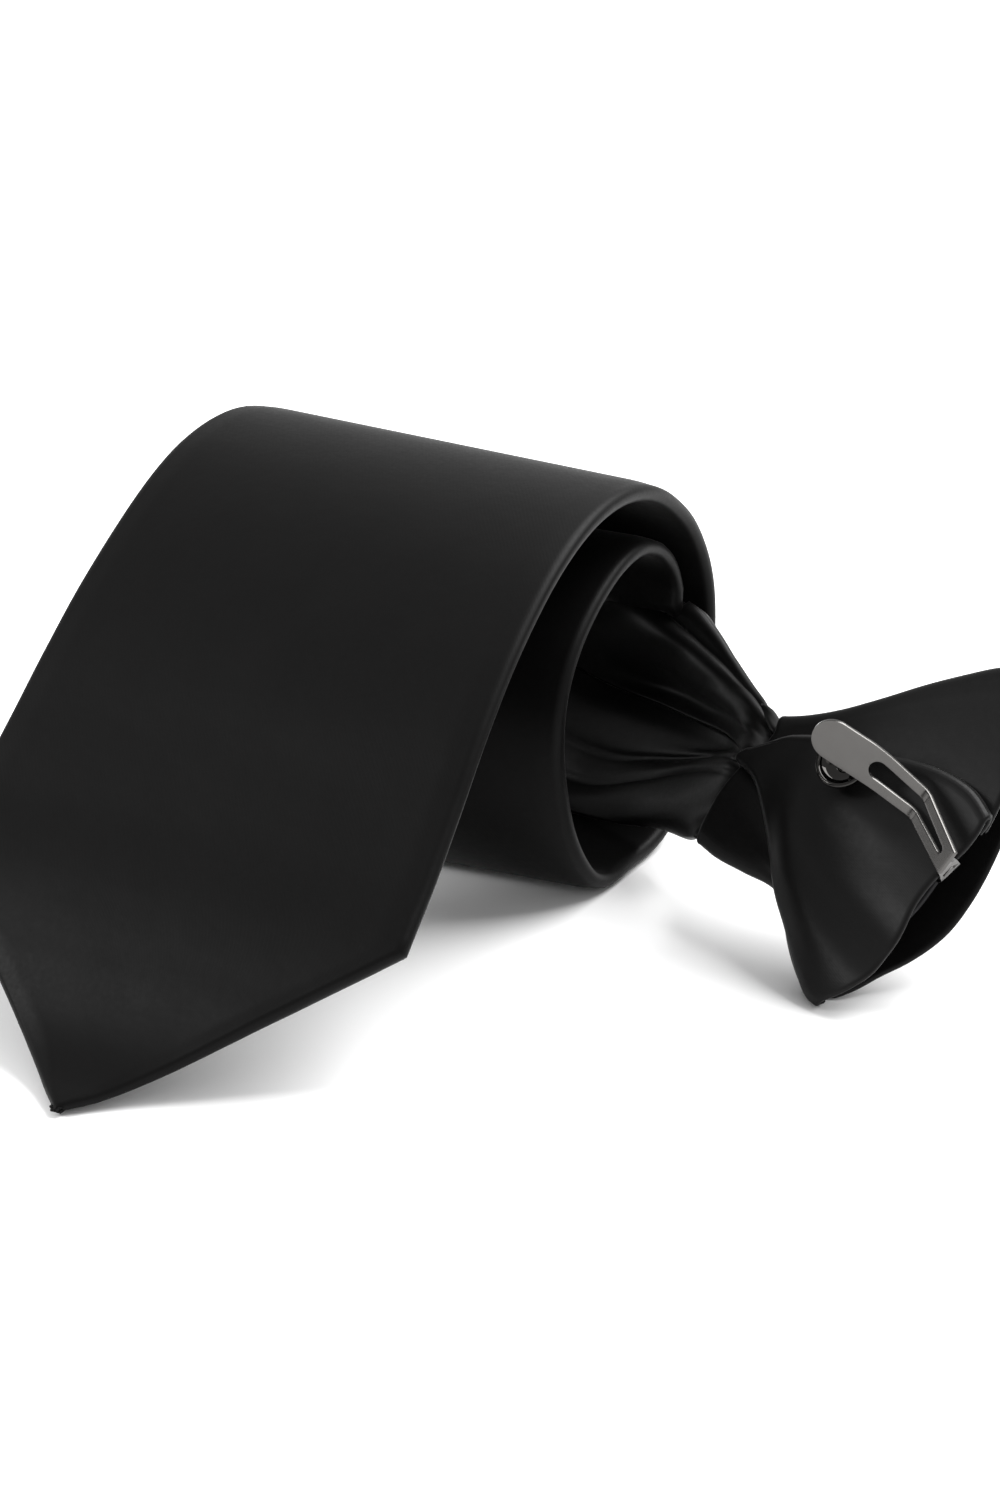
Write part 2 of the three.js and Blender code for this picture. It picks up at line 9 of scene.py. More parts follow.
import bpy
import numpy as np
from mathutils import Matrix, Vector


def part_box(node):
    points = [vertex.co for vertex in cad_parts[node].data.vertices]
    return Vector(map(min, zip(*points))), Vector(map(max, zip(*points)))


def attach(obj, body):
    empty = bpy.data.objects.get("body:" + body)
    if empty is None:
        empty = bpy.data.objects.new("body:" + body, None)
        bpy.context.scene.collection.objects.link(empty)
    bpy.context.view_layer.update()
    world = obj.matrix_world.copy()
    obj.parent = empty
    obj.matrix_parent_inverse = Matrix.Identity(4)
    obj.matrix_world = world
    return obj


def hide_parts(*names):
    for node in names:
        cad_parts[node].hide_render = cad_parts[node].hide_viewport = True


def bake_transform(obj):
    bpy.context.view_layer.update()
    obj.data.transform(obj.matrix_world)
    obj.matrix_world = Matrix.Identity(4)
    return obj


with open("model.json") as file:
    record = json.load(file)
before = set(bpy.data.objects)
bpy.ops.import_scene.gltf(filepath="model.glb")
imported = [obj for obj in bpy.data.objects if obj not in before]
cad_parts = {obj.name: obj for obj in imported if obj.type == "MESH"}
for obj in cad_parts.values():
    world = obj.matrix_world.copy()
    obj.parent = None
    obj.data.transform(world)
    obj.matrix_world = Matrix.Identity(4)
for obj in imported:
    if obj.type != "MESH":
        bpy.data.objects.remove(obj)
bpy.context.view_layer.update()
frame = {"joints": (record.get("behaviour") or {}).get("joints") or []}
MM = 0.001

# ---- places taken from the frame ------------------------------------------
JOINTS = {j["name"]: j for j in frame["joints"]}


def joint_place(name):
    return np.array(JOINTS[name]["pos_m"]) / MM


shell_low, shell_high = (np.array(c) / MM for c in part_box("blade_shell"))
ROLL_REACH = 34.553
CORE = np.array([(shell_low[0] + shell_high[0]) / 2, shell_high[1] - ROLL_REACH, 0.0])
NECK = joint_place("knot_tilt") + np.array([14.0, -10.0, 1.0])
CLIP_ROOT = joint_place("clip_open")


def unit(v):
    v = np.asarray(v, float)
    return v / np.linalg.norm(v, axis=-1, keepdims=True)


# The knot's own directions: up from its neck, across it, and out of its back.
KNOT_UP = unit([37, -9, -5.4])
KNOT_SIDE = np.array([0.257, 0.601, 0.757])
KNOT_SIDE = unit(KNOT_SIDE - KNOT_UP * KNOT_UP.dot(KNOT_SIDE))
KNOT_BACK = np.cross(KNOT_UP, KNOT_SIDE)

# ---- blade sizes, with lengths along the blade counted from its tip ----------
BLADE_THICK = 3.0
SATIN = 0.42
TIP_LENGTH = 35.6
HALF_WIDTHS = [[0, 0], [18, 20.7], [TIP_LENGTH, 40], [125, 36.8], [215, 34.3], [345, 32.6]]
HEM = 14.0
LINING_END = 88.0
# Line (y, z) of the blade's front face, measured from the roll's core: from the tip over the arch and inwards.
ROLL_OUTER = [
    [-109.3, 3.0], [-104, 3.9], [-98, 7.0], [-89.5, 14.2], [-80.7, 22.4], [-72, 29.4], [-63.3, 37.4],
    [-54.0, 46.4], [-43.6, 54.8], [-30.4, 62.6], [-19.1, 66.6], [-9.5, 67.9], [0.0, 67.3], [8.0, 65.3],
    [15.8, 61.7], [23.6, 56.2], [29.5, 49.2], [32.9, 42.1], [34.3, 34], [34.0, 25], [31.2, 14.5],
    [25.5, 6.2], [18.5, 1.3], [12.5, 0.0], [5, 0.0], [-2.5, 0.0], [-7.8, 2.2], [-12.2, 6.6], [-16.4, 13.2],
    [-19.2, 21], [-20.6, 29.5], [-19.4, 38], [-14.8, 45.2], [-7, 51], [2.6, 54.8], [11.2, 55.4],
    [18.6, 52.9], [24.2, 48.2], [27.0, 42.5], [27.9, 36.0],
]


# ---- curves ------------------------------------------------------------------
def spline(points, count):
    """A centripetal Catmull-Rom curve through points, resampled to count points at equal spacing."""
    p = np.asarray(points, float)
    p = np.vstack([2 * p[0] - p[1], p, 2 * p[-1] - p[-2]])
    step = np.maximum(np.linalg.norm(np.diff(p, axis=0), axis=1) ** 0.5, 1e-6)
    t = np.concatenate([[0], np.cumsum(step)])
    fine = []
    for i in range(1, len(p) - 2):
        u = np.linspace(t[i], t[i + 1], 24, endpoint=False)[:, None]
        a = [
            (t[j + 1] - u) / (t[j + 1] - t[j]) * p[j] + (u - t[j]) / (t[j + 1] - t[j]) * p[j + 1]
            for j in (i - 1, i, i + 1)
        ]
        b = [
            (t[j + 2] - u) / (t[j + 2] - t[j]) * a[n] + (u - t[j]) / (t[j + 2] - t[j]) * a[n + 1]
            for n, j in enumerate((i - 1, i))
        ]
        fine.append((t[i + 1] - u) / (t[i + 1] - t[i]) * b[0] + (u - t[i]) / (t[i + 1] - t[i]) * b[1])
    fine.append(p[-2][None, :])
    fine = np.vstack(fine)
    return resample(fine, count)


def run_along(line):
    """The length along a line of points, from its start to each point."""
    return np.concatenate([[0], np.cumsum(np.linalg.norm(np.diff(line, axis=0), axis=1))])


def pick(line, run, at):
    """The places on a line at the given positions of its running value."""
    return np.stack([np.interp(at, run, line[:, i]) for i in range(line.shape[1])], 1)


def resample(line, count):
    run = run_along(line)
    return pick(line, run, np.linspace(0, run[-1], count))


def table(rows, s):
    """The value at s in a table of [position, value] rows, straight between them."""
    rows = np.asarray(rows, float)
    return np.interp(s, rows[:, 0], rows[:, 1])


def curve_table(rows, s):
    """Like table(), but smooth through its points."""
    rows = np.asarray(rows, float)
    x, y = rows[:, 0], rows[:, 1]
    slope = np.gradient(y, x)
    i = np.clip(np.searchsorted(x, s) - 1, 0, len(x) - 2)
    d = x[i + 1] - x[i]
    t = np.clip((s - x[i]) / d, 0, 1)
    from_first = 2 * t**3 - 3 * t**2 + 1
    from_second = -2 * t**3 + 3 * t**2
    by_first_slope = t**3 - 2 * t**2 + t
    by_second_slope = t**3 - t**2
    first_part = from_first * y[i] + by_first_slope * d * slope[i]
    return first_part + from_second * y[i + 1] + by_second_slope * d * slope[i + 1]


def smooth(t):
    """An even rise from 0 at t = 0 to 1 at t = 1."""
    t = np.clip(t, 0, 1)
    return t * t * (3 - 2 * t)


def bump(x, centre, width):
    """A rounded hump of height 1 at the centre."""
    return np.exp(-(((x - centre) / width) ** 2))


# ---- meshes ------------------------------------------------------------------
def make_object(name, verts, faces, uv=None):
    mesh = bpy.data.meshes.new(name)
    mesh.from_pydata((np.asarray(verts, float) * MM).tolist(), [], faces)
    mesh.update()
    if uv is not None:
        layer = mesh.uv_layers.new(name="UVMap")
        index = np.zeros(len(mesh.loops), np.int64)
        mesh.loops.foreach_get("vertex_index", index)
        layer.data.foreach_set("uv", np.asarray(uv, float)[index].ravel().astype(np.float32))
    mesh.polygons.foreach_set("use_smooth", np.ones(len(mesh.polygons), bool))
    obj = bpy.data.objects.new(name, mesh)
    bpy.context.scene.collection.objects.link(obj)
    return obj


def grid_normals(grid):
    """Unit normals of a grid of points, one at each point."""
    dc = np.gradient(grid, axis=1)
    dr = np.gradient(grid, axis=0)
    n = np.cross(dc, dr)
    return n / np.maximum(np.linalg.norm(n, axis=2, keepdims=True), 1e-9)


def border_of(rows, cols):
    """Grid places round the edge, in order."""
    loop = [(0, c) for c in range(cols)] + [(r, cols - 1) for r in range(1, rows)]
    loop += [(rows - 1, c) for c in range(cols - 2, -1, -1)] + [(r, 0) for r in range(rows - 2, 0, -1)]
    return loop


RIM_STEPS = 3
LOWEST = 0.02


def cloth(name, grid, thickness):
    """A sheet with two faces and a rounded rim, from a grid of points in its middle surface."""
    grid = np.asarray(grid, float)
    rows, cols = grid.shape[:2]
    thick = np.broadcast_to(np.asarray(thickness, float), (rows, cols))[..., None]
    n = grid_normals(grid)
    outer = grid + n * thick / 2
    inner = grid - n * thick / 2
    across = np.linalg.norm(np.diff(grid, axis=1), axis=2).mean(0)
    along = np.linalg.norm(np.diff(grid, axis=0), axis=2).mean(1)
    u = np.concatenate([[0], np.cumsum(across)])
    v = np.concatenate([[0], np.cumsum(along)])
    uv_grid = np.stack(np.meshgrid(u, v), 2)
    verts = [outer.reshape(-1, 3), inner.reshape(-1, 3)]
    uv = [uv_grid.reshape(-1, 2), uv_grid.reshape(-1, 2)]
    index = np.arange(rows * cols).reshape(rows, cols)
    a, b, c, d = index[:-1, :-1], index[:-1, 1:], index[1:, 1:], index[1:, :-1]
    face = np.stack([a, b, c, d], 2).reshape(-1, 4)
    half = rows * cols
    faces = face.tolist() + (face[:, ::-1] + half).tolist()
    loop = border_of(rows, cols)
    at = np.array(loop)
    centre = grid[at[:, 0], at[:, 1]]
    inside = grid[np.clip(at[:, 0], 1, rows - 2), np.clip(at[:, 1], 1, cols - 2)]
    normal = n[at[:, 0], at[:, 1]]
    out = centre - inside
    out -= normal * (out * normal).sum(1, keepdims=True)
    out /= np.maximum(np.linalg.norm(out, axis=1, keepdims=True), 1e-9)
    t = thick[at[:, 0], at[:, 1]]
    loops = [index[at[:, 0], at[:, 1]]]
    count = 2 * half
    for i in range(1, RIM_STEPS + 1):
        angle = math.pi * i / (RIM_STEPS + 1)
        verts.append(centre + normal * t / 2 * math.cos(angle) + out * t / 2 * math.sin(angle))
        uv.append(uv_grid[at[:, 0], at[:, 1]])
        loops.append(np.arange(count, count + len(loop)))
        count += len(loop)
    loops.append(index[at[:, 0], at[:, 1]] + half)
    for first, second in zip(loops[:-1], loops[1:]):
        nxt = np.roll(np.arange(len(loop)), -1)
        faces += np.stack([first, second, second[nxt], first[nxt]], 1).tolist()
    verts = np.vstack(verts)
    verts[:, 2] = np.maximum(verts[:, 2], LOWEST)
    return make_object(name, verts, faces, np.vstack(uv))


THREAD_SIDES = 8
PLY_DEPTH = 0.16


def thread(name, strands, radius, twist=0.0):
    """Threads, each along its own list of points, with an optional two-ply twist."""
    sides = THREAD_SIDES
    verts, faces, uv = [], [], []
    count = 0
    for line in strands:
        line = np.asarray(line, float)
        along = unit(np.gradient(line, axis=0))
        ref = np.array([0.31, 0.2, 0.93])
        side = unit(np.cross(along, ref))
        up = np.cross(along, side)
        run = run_along(line)
        taper = np.ones(len(line))
        taper[[0, -1]] = 0.35
        for i in range(sides):
            place = 2 * math.pi * i / sides
            angle = place + twist * run
            r = radius * taper * (1 + PLY_DEPTH * np.cos(2 * place))
            verts.append(line + side * (r * np.cos(angle))[:, None] + up * (r * np.sin(angle))[:, None])
            uv.append(np.stack([np.full(len(line), i / sides), run], 1))
        n = len(line)
        base = count + np.arange(sides)[:, None] * n + np.arange(n)[None, :]
        for i in range(sides):
            a, b = base[i], base[(i + 1) % sides]
            faces += np.stack([a[:-1], a[1:], b[1:], b[:-1]], 1).tolist()
        faces.append(base[:, 0].tolist())
        faces.append(base[::-1, -1].tolist())
        count += sides * n
    return make_object(name, np.vstack(verts), faces, np.vstack(uv))


def lathe(name, profile, centre, axis, steps, ring=True):
    """A profile of (radius, height) turned round an axis; a ring's profile closes on itself."""
    axis = unit(axis)
    side = unit(np.cross(axis, [0.3, 0.9, 0.1]))
    up = np.cross(axis, side)
    p = np.asarray(profile, float)
    n = len(p)
    last = n if ring else n - 1
    verts = []
    for i in range(steps):
        angle = 2 * math.pi * i / steps
        radial = side * math.cos(angle) + up * math.sin(angle)
        verts.append(centre + p[:, :1] * radial + p[:, 1:] * axis)
    faces = []
    for i in range(steps):
        a, b = i * n, ((i + 1) % steps) * n
        faces += [[a + j, a + (j + 1) % n, b + (j + 1) % n, b + j] for j in range(last)]
    return make_object(name, np.vstack(verts), faces)


def strip(name, verts, is_open):
    """A surface of metal strip from a grid of points, without the faces where is_open(row, column)."""
    rows, cols = verts.shape[:2]
    faces = []
    for r in range(rows - 1):
        for c in range(cols - 1):
            if not is_open(r, c):
                first = r * cols + c
                faces.append([first, first + 1, first + cols + 1, first + cols])
    return make_object(name, verts.reshape(-1, 3), faces)


# ---- rolled blade ---------------------------------------------------------------
roll = spline(ROLL_OUTER, 3000)
roll_run = run_along(roll)
ROLL_LENGTH = roll_run[-1]
roll_along = unit(np.gradient(roll, axis=0))


def roll_at(s):
    """The place (y, z) and the direction of the roll's line at length s."""
    y, z = np.interp(s, roll_run, roll[:, 0]), np.interp(s, roll_run, roll[:, 1])
    ty, tz = np.interp(s, roll_run, roll_along[:, 0]), np.interp(s, roll_run, roll_along[:, 1])
    return y, z, ty, tz


FACE_LIFT = 1.0
FACE_LIFT_PART = (5, 25, 125, 40)
SIDE_RISE = [[0, 0], [30, 0.6], [50, 0.5], [75, -0.9], [95, -0.4], [115, 1.8], [130, 2.9], [145, 2.8],
             [170, 1.0], [195, 0], [400, 0]]
TIP_SHIFT = [[0, 1.0], [10, 1.3], [18, 1.1], [26, 0.4], [32, 0], [36, 0], [40, 0], [400, 0]]
INNER_LEAN = 3.0
INNER_LEAN_PART = (222, 35, 285, 30)
FOLD_DEPTH = 1.4
FOLD_WIDTH = 3.2
FOLD_SLANT = 2.85


def on_part(s, part):
    """1 over a part of the blade, with soft ends; part is its start, length of rise, end and length of fall."""
    start, rise, end, fall = part
    return smooth((s - start) / rise) * (1 - smooth((s - end) / fall))


def blade_point(s, across, depth):
    """A point of the blade: s along it, across it, and depth out of its front face, in mm.

    The face stands a little proud of the roll's line over the arch, and the open side of the arch sits higher.
    A slanting groove near the end of the roll is where a pleat begins.
    """
    y, z, ty, tz = roll_at(s)
    across, depth = np.asarray(across, float), np.asarray(depth, float)
    depth = depth + FACE_LIFT * on_part(s, FACE_LIFT_PART)
    open_side = np.clip((34 - across) / 70, 0, 1)
    rise = open_side * curve_table(SIDE_RISE, s)
    lean = INNER_LEAN * open_side * on_part(s, INNER_LEAN_PART)
    fold_line = 33.0 - FOLD_SLANT * (ROLL_LENGTH - 3.8 - s)
    depth = depth - FOLD_DEPTH * bump(across, fold_line, FOLD_WIDTH) * smooth((s - ROLL_LENGTH + 17) / 9)
    x = CORE[0] + across - curve_table(TIP_SHIFT, s)
    return np.stack(np.broadcast_arrays(x, CORE[1] + y - tz * depth - lean, z + ty * depth + rise), -1)


def half_width(s):
    return table(HALF_WIDTHS, s)


def seam_gap(s):
    """Half the opening between the two back panels, where the tip lining shows."""
    wide = TIP_LENGTH - HEM
    return table([[0, 0.4], [HEM, 0.5], [TIP_LENGTH, wide], [LINING_END + 4, 0.25], [400, 0.2]], s)


FRONT_COLS = 88
BACK_COLS = 30
FOLD_COLS = 9
EDGE_SOFT = 5.0
EDGE_DROP = 0.32
TURN_IN = 3.2


def sleeve_outline(h, g, thick):
    """Middle line of the satin round a blade of half width h, as places across it and depths below its face.

    It runs from one turned-in edge at the seam, whose half opening is g, round the left fold, over the front,
    round the right fold and back to the other edge.
    """
    mid = SATIN / 2
    r = min(thick / 2 - mid, 0.42 * h)
    flat = h - r - mid
    back = -thick + mid
    turn_in = min(TURN_IN, 0.25 * h)
    x = np.linspace(-1, 1, FRONT_COLS)
    x = np.sign(x) * (1 - (1 - np.abs(x)) ** 1.25)
    front_a = flat * x
    soft = min(EDGE_SOFT, 0.4 * h)
    front_d = -mid - EDGE_DROP * smooth((np.abs(front_a) - (h - soft)) / soft)
    fold = np.linspace(-0.5, 0.5, FOLD_COLS)[1:-1] * math.pi
    fold_a = flat + r * np.cos(fold)
    fold_d = (front_d[-1] + back) / 2 + (front_d[-1] - back) / 2 * np.sin(fold)
    back_a = flat + (g + 0.5 - flat) * np.linspace(0, 1, BACK_COLS)
    back_d = np.full(BACK_COLS, back)
    edge_a = g + np.array([0.12, 0, 0.14, 0.5, turn_in * 0.5, turn_in])
    edge_d = back + np.array([0.04, 0.22, 0.42, 0.5, 0.5, 0.48])
    half_a = np.concatenate([fold_a[::-1], back_a, edge_a])
    half_d = np.concatenate([fold_d[::-1], back_d, edge_d])
    return (
        np.concatenate([-half_a[::-1], front_a, half_a]),
        np.concatenate([half_d[::-1], front_d, half_d]),
    )


# ---- pleats between the roll and the knot -----------------------------------------
GATHER_ROWS = 64
INSIDE_ROWS = 8
NECK_START = -3.8
NECK_INSIDE = 9.0
NECK_MIDDLE = -2.2
NECK_PINCH = 0.25


def knot_point(k, w, h):
    """A point of the knot: k up from its neck, w to its side and h out of its back, in mm."""
    k, w, h = (np.asarray(v, float)[..., None] for v in (k, w, h))
    return NECK + k * KNOT_UP + w * KNOT_SIDE + h * KNOT_BACK


ROLL_END = ROLL_LENGTH - 3.0
# Lines the pleats follow from the end of the roll to the knot, each at its share of the blade's width from
# the right edge. The places between are measured from the roll's core, the last pair is (w, h) in the neck.
FIBRES = [
    (0.00, [[33.4, 27.6, 36.6], [37.5, 25.4, 34.4], [44.0, 20.8, 31.9], [51.0, 14.6, 30.2]], [7.3, -4.4]),
    (0.07, [[33.6, 26.3, 38.9], [39.2, 23.2, 36.9], [44.2, 19.6, 34.3], [50.0, 14.6, 32.0],
            [54.0, 11.2, 31.0]], [8.4, -6.2]),
    (0.135, [[26.5, 27.2, 37.9], [34.0, 24.4, 35.8], [42.0, 19.8, 33.4], [50.0, 13.6, 31.2]], [7.6, -6.8]),
    (0.22, [[24.5, 25.6, 37.4], [31.0, 22.8, 35.5], [36.0, 21.0, 34.0], [41.0, 18.1, 32.8],
            [46.0, 15.2, 31.4], [51.0, 11.4, 31.0]], [6.2, -7.0]),
    (0.31, [[17.0, 27.8, 35.0], [25.0, 26.6, 32.0], [34.0, 23.2, 29.8], [42.0, 17.8, 29.4],
            [49.5, 11.8, 29.4]], [5.0, -6.0]),
    (0.43, [[6.0, 29.7, 33.0], [15.0, 30.5, 26.5], [28.0, 29.8, 23.2], [39.0, 22.6, 24.0],
            [48.5, 13.6, 26.2]], [3.2, -4.4]),
    (0.57, [[-3.0, 28.6, 31.0], [4.0, 28.0, 24.0], [14.0, 26.4, 19.2], [26.0, 22.8, 18.6],
            [38.0, 17.6, 19.6], [48.0, 11.0, 21.8]], [1.6, -5.2]),
    (0.68, [[-9.0, 28.8, 30.0], [-1.0, 27.8, 20.5], [10.0, 25.0, 13.0], [21.0, 22.2, 11.6],
            [32.0, 18.4, 14.6], [43.0, 12.8, 18.8]], [0.2, -4.8]),
    (0.78, [[-15.0, 28.8, 28.0], [-6.0, 27.0, 16.0], [6.0, 22.6, 8.2], [18.0, 19.4, 7.0],
            [30.0, 16.0, 11.2], [41.0, 10.4, 16.8]], [-1.8, -5.2]),
    (0.89, [[-22.0, 28.6, 26.0], [-13.0, 25.6, 12.5], [2.0, 20.0, 5.6], [17.0, 16.4, 4.6],
            [31.0, 12.6, 7.2], [42.0, 6.0, 11.6]], [-7.4, -8.6]),
    (1.00, [[-29.5, 28.0, 25.0], [-21.0, 24.0, 10.5], [-5.0, 18.6, 4.6], [14.0, 15.8, 3.8],
            [27.0, 13.4, 4.4], [36.0, 11.0, 6.4], [44.0, 5.0, 8.2]], [-13.2, -6.0]),
]
# Pleats near the right edge end NECK_SHIFT further up the knot; all come in along its axis for NECK_LEAD.
NECK_LEAD = 0.9
NECK_SHIFT = 3.0
# Fine creases: (share of the width, width of the crease, height in mm).
CREASES = [
    (0.10, 0.03, -0.3), (0.175, 0.02, 0.25), (0.36, 0.03, 0.25), (0.50, 0.02, 0.3), (0.635, 0.03, 0.35),
    (0.67, 0.010, -0.6), (0.725, 0.03, 0.3), (0.77, 0.010, -0.65), (0.84, 0.03, 0.25),
]


def pleat(t, v):
    """How far fine creases stand out of the gathered cloth at share t of its width and v of its length."""
    shape = sum(height * bump(t, at, width) for at, width, height in CREASES)
    crumple = 0.12 * np.sin(64 * t + 9 * v) * bump(t, 0.17, 0.09) * bump(v, 0.84, 0.10)
    return shape * smooth((v - 0.12) * 1.7) * (1 - 0.45 * smooth((v - 0.8) / 0.2)) + crumple


def build_fibres(rows):
    """Places along every guide line, in rows from the roll to the neck."""
    half = half_width(ROLL_END)
    lines = []
    for share, places, (w, h) in FIBRES:
        start = blade_point(ROLL_END, half * (1 - 2 * share), -BLADE_THICK / 2)
        end = knot_point(NECK_START + NECK_SHIFT * (1 - smooth((share - 0.25) / 0.35)), w, h)
        lead = end - KNOT_UP * NECK_LEAD
        middle = [CORE + np.array(place) for place in places]
        lines.append(spline([start] + middle + [lead, end], rows))
    return np.array([share for share, _, _ in FIBRES]), np.array(lines)


def gather_row(shares, lines, i, t):
    """Middle surface of row i at shares t of the blade's width from its right edge."""
    return np.stack([curve_table(np.stack([shares, lines[:, i, j]], 1), t) for j in range(3)], -1)


TIP_STATIONS = [0.1, 0.35, 0.7, 1.2, 2.0, 3.0, 4.2, 5.6]
TIP_THICK = [[0, 0.9], [0.7, 1.4], [3, 1.9], [8, 2.3], [22, 2.9], [30, BLADE_THICK], [400, BLADE_THICK]]
TIP_SINK = 0.8


def build_blade():
    """Middle surface of the blade's satin, in rows from the tip into the knot, and how many rows are rolled."""
    stations = np.concatenate([
        TIP_STATIONS,
        np.arange(7.2, TIP_LENGTH, 1.6),
        np.linspace(TIP_LENGTH, ROLL_END, int((ROLL_END - TIP_LENGTH) / 2.0)),
    ])
    rows = []
    for s in stations:
        h = max(half_width(s), 0.5)
        thick = table(TIP_THICK, s)
        a, d = sleeve_outline(h, min(seam_gap(s), max(0.15, h * 0.72)), thick)
        rows.append(blade_point(s, a, d - TIP_SINK * (BLADE_THICK - thick)))
    h = half_width(ROLL_END)
    a, d = sleeve_outline(h, seam_gap(ROLL_END), BLADE_THICK)
    t = np.clip((h - a) / (2 * h), 0, 1)
    grid_t = np.linspace(0, 1, 400)
    shares, lines = build_fibres(GATHER_ROWS + 1)
    mids = [gather_row(shares, lines, i, grid_t) for i in range(GATHER_ROWS + 1)]
    for i in range(1, GATHER_ROWS + INSIDE_ROWS + 1):
        row = min(i, GATHER_ROWS)
        v = row / GATHER_ROWS
        inside = max(0, i - GATHER_ROWS) / INSIDE_ROWS
        mid = mids[row]
        n = unit(np.cross(np.gradient(mid, axis=0), mid - mids[row - 1]))
        thin = 1 - 0.62 * smooth(v * 2.2)
        here = pick(mid, grid_t, t)
        normal = unit(pick(n, grid_t, t))
        depth = (d + BLADE_THICK / 2) * thin - pleat(t, v)
        off_axis = (here - NECK).dot(KNOT_SIDE) - NECK_MIDDLE
        pinch = KNOT_SIDE * (off_axis * NECK_PINCH * inside)[:, None]
        rows.append(here - normal * depth[:, None] + KNOT_UP * NECK_INSIDE * inside - pinch)
    return np.array(rows), len(stations)


blade_grid, rolled_rows = build_blade()
blade = cloth("blade_satin", blade_grid, SATIN)

# ---- knot cloth -----------------------------------------------------------------
# Edges of the knot. The two mouth tables and NECK_EDGE give heights k at places w, the other four places w at
# heights k.
NECK_EDGE = [[-14, -3.4], [-6, -3.4], [-3, -3.1], [1.1, -2.5], [3.5, -0.9], [5.5, 0.4], [7.2, 0.7],
             [9.5, -0.7], [40, -0.8]]
FRONT_START = -1.0
FLAP_EDGE = [[-3, 1.6], [-2, 1.9], [0.8, 4.2], [3.8, 6.8], [6.5, 8.2], [13, 9.8], [20, 10.9], [24.3, 12],
             [30, 12.6], [36.4, 11.6], [40, 9.6]]
# near the mouth the flap and the cone share one left outline
LEFT_OUTLINE = [[19.7, -19.3], [25.5, -24.5], [29.4, -27.2], [31.5, -27.4], [34.2, -26.4], [40, -25]]
LOBE_LEFT = [[-3, 0.6], [-2, 0.4], [1.5, -0.8], [7.2, -6], [11, -10.3], [14.5, -14.6]] + LEFT_OUTLINE
TUBE_LEFT = [[-3, -13.6], [0, -14.2], [6, -14.4], [12.7, -14.6], [15.5, -15.6]] + LEFT_OUTLINE
BAND_RIGHT = [[-3, 9.0], [0.3, 10.2], [8.1, 14.8], [12.7, 18.5], [18.2, 23.2], [24, 27.8], [28, 30.9],
              [31.5, 33.0], [36, 34]]
BACK_MOUTH = [[-27.4, 30.6], [-24.7, 33.8], [-21.5, 36.2], [-15.4, 37.2], [-12, 37.2], [-7.5, 37.0],
              [-1.6, 38.0], [3.7, 39.6], [9.3, 40.0], [14, 39.6], [20, 38.4], [26, 36.2], [30, 33.6],
              [33.1, 31.0]]
FRONT_MOUTH = [[-27.4, 28.5], [-23.9, 31.2], [-18.5, 34.0], [-15.5, 35.9], [-8.5, 38.9], [-3, 39.6],
               [2.4, 39.6], [7.1, 39.2], [14, 38.4], [20, 37.0], [26, 34.8], [30, 32.8], [33.1, 31.0]]
KNOT_THICK = 1.0
KNOT_LOW = -3.0
KNOT_HEIGHT = 40.0
FRONT_DEPTH = 9.9
FRONT_CURVE = 2.6
SIDE_H = -4.4
FLAP_H = -0.55


def edge_at(rows, mouth, v):
    """Place w of an edge on the row at share v of the way from the neck to the mouth.

    The height there depends on the place and the place on the height, so it is found step by step.
    """
    w = 0.0
    for _ in range(14):
        start = float(table(NECK_EDGE, w))
        k = start + (float(curve_table(mouth, w)) - start) * v
        w = (w + float(curve_table(rows, k))) / 2
    return w


def lobe_face(k, e, l, open_up):
    """The flap's face from its edge e to its left fold l: a cushion, a hollow and a diagonal fold."""
    span = e - l
    w = e - span * np.array([0.02, 0.10, 0.22, 0.36, 0.5, 0.64, 0.76, 0.86, 0.93, 0.975])
    # the cushion is highest 6 mm inside the left fold and falls away towards the fold
    ridge = 1.3 * open_up * bump(w, l + 6.0, 5.6) + 0.25
    ridge = ridge - 1.1 * open_up * (1 - np.clip((w - l) / 5.0, 0, 1)) ** 2
    hollow = -0.25 * open_up * bump(w, l + 0.44 * span, 0.16 * span + 0.5)
    diagonal = 0.7 * bump(w, 9.5 - 0.44 * k, 4.2) * smooth((k - 10) / 8)
    return w, FLAP_H + ridge * smooth(span / 8) + hollow + diagonal


def left_folds(k, l, left):
    """The flap's left fold, the pleat that runs back under it and the cloth out to the cone's left side."""
    pleat_at = l + 0.7
    # how far the pleat runs under the flap, fading out with the height k
    under = 5.5 * (1 - smooth((k - 1) / 12.5))
    sections = [([l - 0.15, l - 0.1, pleat_at], [FLAP_H - 0.55, FLAP_H - 1.5, FLAP_H - 2.25], 10)]
    if under > 0.05:
        places = [pleat_at + under * 0.5, pleat_at + under, pleat_at + under * 0.9]
        sections.append((places, [FLAP_H - 2.5, FLAP_H - 2.9, FLAP_H - 3.35], 8))
    else:
        places = [l + 0.72, l + 0.75, l + 0.72]
        sections.append((places, [FLAP_H - 2.4, FLAP_H - 2.6, FLAP_H - 2.9], 8))
    # where the cone's side lies past the fold, the cloth between them runs out as a loose crown
    loose = smooth(max(0.0, l - left) / 6)
    tight = 1 - loose
    w = np.linspace(l + 0.4 * min(under, 1.0), left + 1.8, 5) * loose + (left + 0.55) * tight
    crown = 0.9 * np.sin(np.pi * np.linspace(0.05, 0.9, 5)) * loose
    sections.append((w, (FLAP_H - 3.5 + crown) * loose + np.linspace(-3.65, -4.2, 5) * tight, 18))
    sections.append(([left + 0.5, left + 0.15, left + 0.45], [-4.45, -5.0, -5.4], 8))
    return sections


